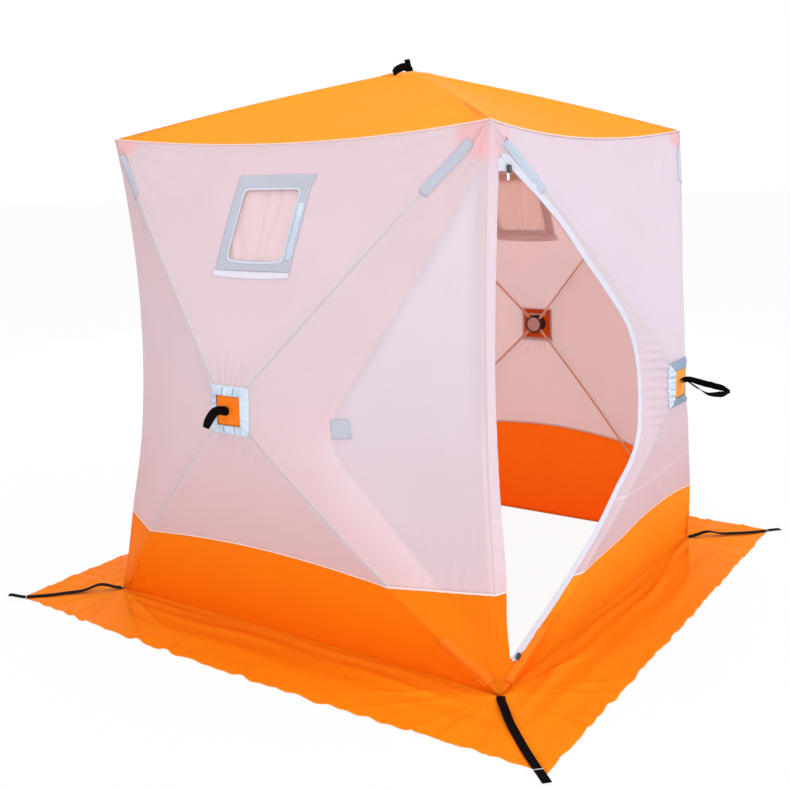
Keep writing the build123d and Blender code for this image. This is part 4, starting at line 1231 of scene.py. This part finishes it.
def webbing_grid(path, width_way, width=web_width, thickness=web_skin):
    """A flat band swept along a path: an oblong section whose long side points the width way and may
    change along the path, closed at both ends by rings that shrink to the middle. Returns the points and
    their UV, in metres."""
    tangent = unit(np.gradient(path, axis=0))
    across = unit(width_way - tangent * np.sum(width_way * tangent, axis=-1, keepdims=True))
    flat = np.cross(tangent, across)
    turn = np.linspace(0, 2 * np.pi, 24, endpoint=False)
    wide_share = np.sign(np.cos(turn)) * np.abs(np.cos(turn)) ** 0.35
    thick_share = np.sign(np.sin(turn)) * np.abs(np.sin(turn)) ** 0.5
    half = np.broadcast_to(np.asarray(width) / 2, len(path))[:, None] * wide_share
    section = across[:, None] * half[..., None] + flat[:, None] * (thick_share * thickness / 2)[:, None]
    first, last = path[None, :1] + section[:1] * 0.02, path[None, -1:] + section[-1:] * 0.02
    rings = np.concatenate([first, path[:, None] + section, last])
    far = np.concatenate([[0], np.cumsum(np.linalg.norm(np.diff(path, axis=0), axis=1))])
    far = np.concatenate([far[:1], far, far[-1:]])
    half = np.concatenate([half[:1], half, half[-1:]])
    return rings, np.stack(np.broadcast_arrays(half, far[:, None]), -1)


def pull_loop(points, twist, gap, back_twist=None):
    """A doubled strap along a line of (side, out, up) points from a hub: out on one side of the line,
    round its end and back on the other. twist gives the turn of the webbing's width from level and gap
    half the distance between the two runs, each at the line's points; with a back_twist the runs lie one
    above the other."""
    line = through_points(points, 9)
    knots = np.linspace(0, 1, len(points))
    place = np.linspace(0, 1, len(line))
    angle, half_gap = np.interp(place, knots, twist)[:, None], np.interp(place, knots, gap)[:, None]
    back = angle if back_twist is None else np.interp(place, knots, back_twist)[:, None]
    tangent = unit(np.gradient(line, axis=0))
    level = unit(np.array([1.0, 0, 0]) - tangent * tangent[:, :1])
    rise = np.cross(tangent, level)
    across, across_back = (np.cos(turn) * level + np.sin(turn) * rise for turn in (angle, back))
    apart = -rise if back_twist is not None else -np.sin(angle) * level + np.cos(angle) * rise
    swing = np.linspace(0, np.pi, 11)[1:-1, None]
    end = line[-1] + half_gap[-1] * (np.cos(swing) * apart[-1] + np.sin(swing) * tangent[-1])
    path = np.concatenate([line + half_gap * apart, end, (line - half_gap * apart)[::-1]])
    share = swing / np.pi
    ways = np.concatenate([across, across[-1] * (1 - share) + across_back[-1] * share, across_back[::-1]])
    far = np.concatenate([[0], np.cumsum(np.linalg.norm(np.diff(path, axis=0), axis=1))])
    rounded = np.sqrt(1 - (1 - np.clip(np.minimum(far, far[-1] - far) / 0.010, 0.1, 1)) ** 2)
    narrow = 1 - 0.3 * bell(far, far[-1] / 2, 0.014)
    return webbing_grid(path, ways, web_width * rounded * narrow)


side_points = [(0, 0.0, -0.008), (0, 0.022, 0.001), (0, 0.048, 0.003), (0, 0.070, -0.011), (0, 0.087, -0.032)]
side_twist, side_gap = (1.45, 1.4, 1.2, 1.0, 0.8), (0.004, 0.003, 0.003, 0.003, 0.003)
door_points = [(0, 0.0, 0.0), (0, 0.022, 0.005), (0.002, 0.052, -0.006)]
door_points += [(0.006, 0.086, -0.018), (0.010, 0.120, -0.020), (0.014, 0.140, -0.020)]
door_twist, door_gap = (0.3, 0.9, 1.1, 1.1, 1.0, 0.7), (0.003, 0.004, 0.0095, 0.015, 0.010, 0.002)
door_back = (0.3, 0.2, 0.15, 0.6, 1.0, 0.7)
roof_points = [(0, -0.004, 0.0), (0.004, 0.012, 0.004), (0.014, 0.017, 0.020)]
roof_points += [(0.034, 0.008, 0.040), (0.056, -0.004, 0.054)]
roof_twist, roof_gap = (1.3, 1.3, 1.3, 1.2, 1.0), (0.003, 0.003, 0.003, 0.0025, 0.002)
loops, loops_uv = [], []
for wall in turns:
    if wall in ("left", "right"):
        grid, uv = pull_loop(side_points, side_twist, side_gap)
    else:
        grid, uv = pull_loop(door_points, door_twist, door_gap, door_back)
    grid = np.stack([grid[..., 0], -(hub_out + 0.004 + grid[..., 1]), hub_z + grid[..., 2]], -1)
    loops.append(turned(grid, turns[wall])[::-1])
    loops_uv.append(uv[::-1])
fixed(piece_from_grids("wall_pull_webbing", loops, loops_uv, around=True), webbing, "wall_pull_straps")
grid, uv = pull_loop(roof_points, roof_twist, roof_gap)
roof_side, roof_along = np.array([-0.825, -0.565]), np.array([-0.565, 0.825])
stub = through_points([(0.004, 0.020, 0.004), (0.005, 0.032, 0.007), (0.005, 0.042, 0.008)], 6)
stub, stub_uv = webbing_grid(stub, np.broadcast_to(np.array([0.3, 0.1, 1.0]), stub.shape), 0.02)
roof_grids = []
for part in (grid, stub):
    plan = part[..., :1] * roof_side + part[..., 2:] * roof_along
    roof_grids.append(np.concatenate([plan, eave_z + roof_rise + 0.004 + part[..., 1:2]], -1))
piece = piece_from_grids("roof_pull_webbing", roof_grids, [uv, stub_uv], around=True)
fixed(piece, webbing, "roof_pull_strap")


# Guy straps: black webbing sewn along each mitre of the skirt from the foot corner out, with a slack
# stretch near the wall and a free tail past the skirt's tip, where a pale line of thread holds it down.
guy_start, guy_tail = (half_base + skin) * np.sqrt(2), 0.046
guy_bends = ((0.016, 0.016), (0.018, 0.010), (0.006, -0.004), (-0.017, 0.0))
guy_rises = ((0.010, 0.0), (0.018, 0.0), (0.016, 0.0), (0.022, 0.011))
guys, guys_uv, threads, threads_uv = [], [], [], []
for number, wall in enumerate(turns):
    skirt_tip = skirt_tips[number]
    guy_end = skirt_tip * np.sqrt(2) + guy_tail
    (sway, drift), (hump, tail) = guy_bends[number], guy_rises[number]
    run = np.linspace(0, 1, 60)
    out_way = guy_start + 0.002 + (guy_end - guy_start - 0.002) * run
    v = (out_way / np.sqrt(2) - half_base + skirt_hem) / (skirt_tip - half_base + skirt_hem)
    rise = np.where(v < 1, mitre_rise(v), 0.001) + skirt_skin + 0.0014 + hump * bell(run, 0.18, 0.12)
    aside = sway * np.sin(np.pi * run**0.7) + drift * run
    rise = rise + 0.2 * np.abs(aside) + tail * ease(run, 0.86, 1)
    path = np.stack([(-out_way - aside) / np.sqrt(2), (-out_way + aside) / np.sqrt(2), rise], -1)
    way = np.broadcast_to(np.array([-1.0, 1.0, 0.0]) / np.sqrt(2), path.shape)
    grid, uv = webbing_grid(path, way)
    guys.append(turned(grid, turns[wall]))
    guys_uv.append(uv)
    hold = path[np.argmin(np.abs(v - 0.975))] + (0, 0, 0.0012)
    stitch = hold + way[0] * np.linspace(-0.013, 0.013, 9)[:, None]
    grid, uv = webbing_grid(stitch, np.broadcast_to(np.array([1.0, 1.0, 0.0]), stitch.shape), 0.0025, 0.0012)
    threads.append(turned(grid, turns[wall]))
    threads_uv.append(uv)
fixed(piece_from_grids("guy_webbing", guys, guys_uv, around=True), webbing, "corner_straps")
fixed(piece_from_grids("guy_thread", threads, threads_uv, around=True), tape_cloth)


# Seam lines: pale piping in the seam between roof and walls, and the pale felled seam between the white
# cloth and the orange band, which shows on both faces.
piping_cloth = cloth("piping_cloth", (0.95, 0.72, 0.66), 0.15, (1.0, 0.75, 0.7), roughness=0.5)
t, a = np.meshgrid(np.linspace(-1, 1, 90), np.linspace(0, 2 * np.pi, 10, endpoint=False), indexing="ij")
dip = eave_dip(t * half_top)
cord_x, cord_y, cord_z = t * half_top, -(half_top - dip), eave_z - dip
bead = 0.0022
grid = np.stack([cord_x, cord_y - 0.0006 + bead * np.cos(a), cord_z + 0.0006 + bead * np.sin(a)], -1)
uv = np.stack([a * bead, cord_x], -1)
cords = [turned(grid, turn)[:, ::-1] for turn in turns.values()]
fixed(piece_from_grids("eave_piping", cords, [uv[:, ::-1]] * 4, around=True), piping_cloth)


def seam_view(wall):
    """Front-view grids of the seam along the top of the band, with columns on the rod lines; the door
    interrupts it."""
    z = np.array([band_z - 0.001, band_z + 0.002, band_z + 0.0055])
    inner, outer = ridge_x(z), corner_x(z)
    middle, far = spread(-inner, inner, 60), spread(inner, outer, 20)
    if wall != "front":
        x = np.hstack([spread(-outer, -inner, 20), middle[:, 1:], far[:, 1:]])
        return [(x, np.broadcast_to(z[:, None], x.shape))]
    edge, _, leg = door_sides(0)
    left = spread(-outer, np.interp(z, edge[:, 1], edge[:, 0]), 8)
    gap = spread(np.interp(z, leg[::-1, 1], leg[::-1, 0]), -inner, 8)
    x = np.hstack([gap, middle[:, 1:], far[:, 1:]])
    return [(x, np.broadcast_to(z[:, None], x.shape)), (left, np.broadcast_to(z[:, None], left.shape))]


seams, seams_uv = [], []
for wall in turns:
    for x, z in [seam_pull(wall, *view) for view in seam_view(wall)]:
        bulge = 0.0006 * np.array([[0.2], [1], [0.2]])
        seams.append(on_wall(wall, x, z, 0.0004 + bulge))
        seams.append(on_wall(wall, x, z, -skin - 0.0004 - bulge)[:, ::-1])
        seams_uv += [np.stack([x, z], -1), np.stack([x, z], -1)[:, ::-1]]
piece = piece_from_grids("band_seam_tape", seams, seams_uv)
sewn(piece, piping_cloth, 0.0004)


# Frame: tan fibreglass rods with thicker ends at the hubs, black moulded hubs and corner joints, grey
# discs in the hubs' inner faces and metal zip sliders. The wall rods bend outwards with the cloth; the
# other CAD pieces stay.
def solid_finish(name, colour, second, roughness, metallic, scale, stretch=(1, 1, 1), depth=0.0002):
    """A moulded, pulled or cast finish: streaks or grain between two colours, with roughness and bump that
    follow it."""
    material, tree = new_material(name)
    turn = add_node(tree, "Mapping", Vector=add_node(tree, "TexCoord").outputs["Object"], Scale=stretch)
    grain = add_node(tree, "TexNoise", Vector=turn.outputs["Vector"], Scale=scale, Detail=6.0).outputs["Fac"]
    rough = add_node(tree, "MapRange", Value=grain, To_Min=roughness - 0.08, To_Max=roughness + 0.08)
    bump = add_node(tree, "Bump", Strength=0.2, Distance=depth, Height=grain)
    finish = {"Metallic": metallic, "Roughness": rough.outputs["Result"], "Normal": bump.outputs["Normal"]}
    tone = tinted(tree, grain, colour, second, 0.35, 0.65)
    surface = add_node(tree, "BsdfPrincipled", Base_Color=tone, **finish)
    add_node(tree, "OutputMaterial", Surface=surface.outputs[0])
    return material


fibreglass = solid_finish("fibreglass", (0.68, 0.42, 0.29), (0.78, 0.52, 0.38), 0.4, 0.0, 60, depth=0.0003)
black_plastic = solid_finish("black_plastic", (0.010, 0.008, 0.008), (0.022, 0.018, 0.017), 0.45, 0.0, 300)
grey_plastic = solid_finish("grey_plastic", (0.50, 0.37, 0.37), (0.58, 0.44, 0.44), 0.5, 0.0, 200)
drawn_metal = {"scale": 150, "stretch": (1, 1, 3), "depth": 0.0003}
zip_metal = solid_finish("zip_metal", (0.03, 0.028, 0.026), (0.09, 0.085, 0.08), 0.35, 0.8, **drawn_metal)
pull_metal = solid_finish("pull_metal", (0.50, 0.50, 0.50), (0.66, 0.65, 0.64), 0.35, 0.6, **drawn_metal)
rod_radius, sleeve_radius, sleeve_end = 0.00425, 0.0055, 0.086


def bent_rod(hub, tip, bow):
    """Outer face of a rod from a hub's middle to a corner joint: a round tube, thicker near the hub,
    about a line that is pushed outwards by a parabola of height bow, with its ends closed."""
    length = np.linalg.norm(tip - hub)
    sleeve = np.linspace(0.016, sleeve_end - 0.0001, 6)
    run = np.concatenate([sleeve, np.linspace(sleeve_end + 0.0001, length - 0.0095, 40)])
    s = run[:, None] / length
    path = hub + (tip - hub) * s - np.array([0.0, bow, 0.0]) * 4 * s * (1 - s)
    tangent = unit(np.gradient(path, axis=0))
    level = unit(np.cross(tangent, (0.0, 1.0, 0.0)))
    radius = np.where(run < sleeve_end, sleeve_radius, rod_radius)[:, None, None]
    turn = np.linspace(0, 2 * np.pi, 14, endpoint=False)[:, None]
    rings = level[:, None] * np.cos(turn) + np.cross(tangent, level)[:, None] * np.sin(turn)
    middle = path[:, None]
    rings = middle + radius * rings
    first, last = (middle[end] + 0.02 * (rings[end] - middle[end]) for end in (slice(0, 1), slice(-1, None)))
    return np.concatenate([first, rings, last])


rods = []
hub_in, joint_in = 0.022, 0.0185
rod_top, rod_eave = half_top - skin - joint_in, eave_z - skin - joint_in
rod_base, rod_foot = half_base - skin - joint_in, foot_z + joint_in
for wall in turns:
    hub = np.array([0.0, -(hub_out - skin - hub_in), hub_z])
    for side in (-1, 1):
        lower_bow, upper_bow, _ = wall_bows(wall, side * 0.4)
        for half, height, bow in ((rod_top, rod_eave, upper_bow), (rod_base, rod_foot, lower_bow)):
            tip = np.array([side * half, -half, height])
            rods.append(turned(bent_rod(hub, tip, float(bow)), turns[wall]))
fixed(piece_from_grids("wall_rod_tubes", rods, around=True), fibreglass, "wall_rods")
for node, material in (
    ("roof_rods", fibreglass),
    ("hubs", black_plastic),
    ("corner_joints", black_plastic),
    ("hub_discs", grey_plastic),
):
    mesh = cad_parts[node].data
    mesh.materials.clear()
    mesh.materials.append(material)


def pebble(middle, axes, sizes):
    """A rounded block: a superellipsoid about a middle point with three axes and its half sizes along
    them."""
    rise, round_angle = np.linspace(-0.5, 0.5, 15) * np.pi, np.linspace(0, 2, 24, endpoint=False) * np.pi
    u, v = np.meshgrid(rise, round_angle, indexing="ij")

    def soft(value):
        return np.sign(value) * np.abs(value) ** 0.45

    parts = soft(np.cos(u)) * soft(np.cos(v)), soft(np.cos(u)) * soft(np.sin(v)), soft(np.sin(u))
    return middle + sum(part[..., None] * (axis * size) for part, axis, size in zip(parts, axes, sizes))


bodies, pulls = [], []
leg = door_sides(zip_tape / 2)[2]
foot_spot = leg[np.argmin(np.abs(leg[:, 1] - 0.098))]
for spot, lean in (((shut_x[0].mean(), level[0] + 0.006), 0.1), (foot_spot, -0.75)):
    x, z = spot[0] + np.array([0.0, 0.002, 0.0]), spot[1] + np.array([0.0, 0.0, 0.002])
    seat, beside, above = on_wall("front", x, z, patch_lift + 0.0055)
    axis_x, axis_z = unit(beside - seat), unit(above - seat)
    axis_y = unit(np.cross(axis_x, axis_z))
    tilt_z = np.cos(lean) * axis_z - np.sin(lean) * axis_x
    bodies.append(pebble(seat, (np.cross(axis_y, tilt_z), axis_y, tilt_z), (0.0065, 0.0040, 0.0105)))
    hang = np.array([0.0, 0.0, -1.0])
    pull_middle = seat - 0.006 * axis_y + 0.015 * hang
    pulls.append(pebble(pull_middle, (axis_x, axis_y, -hang), (0.0042, 0.0012, 0.015)))
for name, grids, material, nodes in (
    ("zip_slider_bodies", bodies, zip_metal, ("zip_sliders",)),
    ("zip_slider_pulls", pulls, pull_metal, ()),
):
    piece = piece_from_grids(name, grids, around=True)
    shape = bmesh.new()
    shape.from_mesh(piece.data)
    bmesh.ops.remove_doubles(shape, verts=shape.verts, dist=1e-6)
    bmesh.ops.recalc_face_normals(shape, faces=shape.faces)
    shape.to_mesh(piece.data)
    shape.free()
    fixed(piece, material, *nodes)
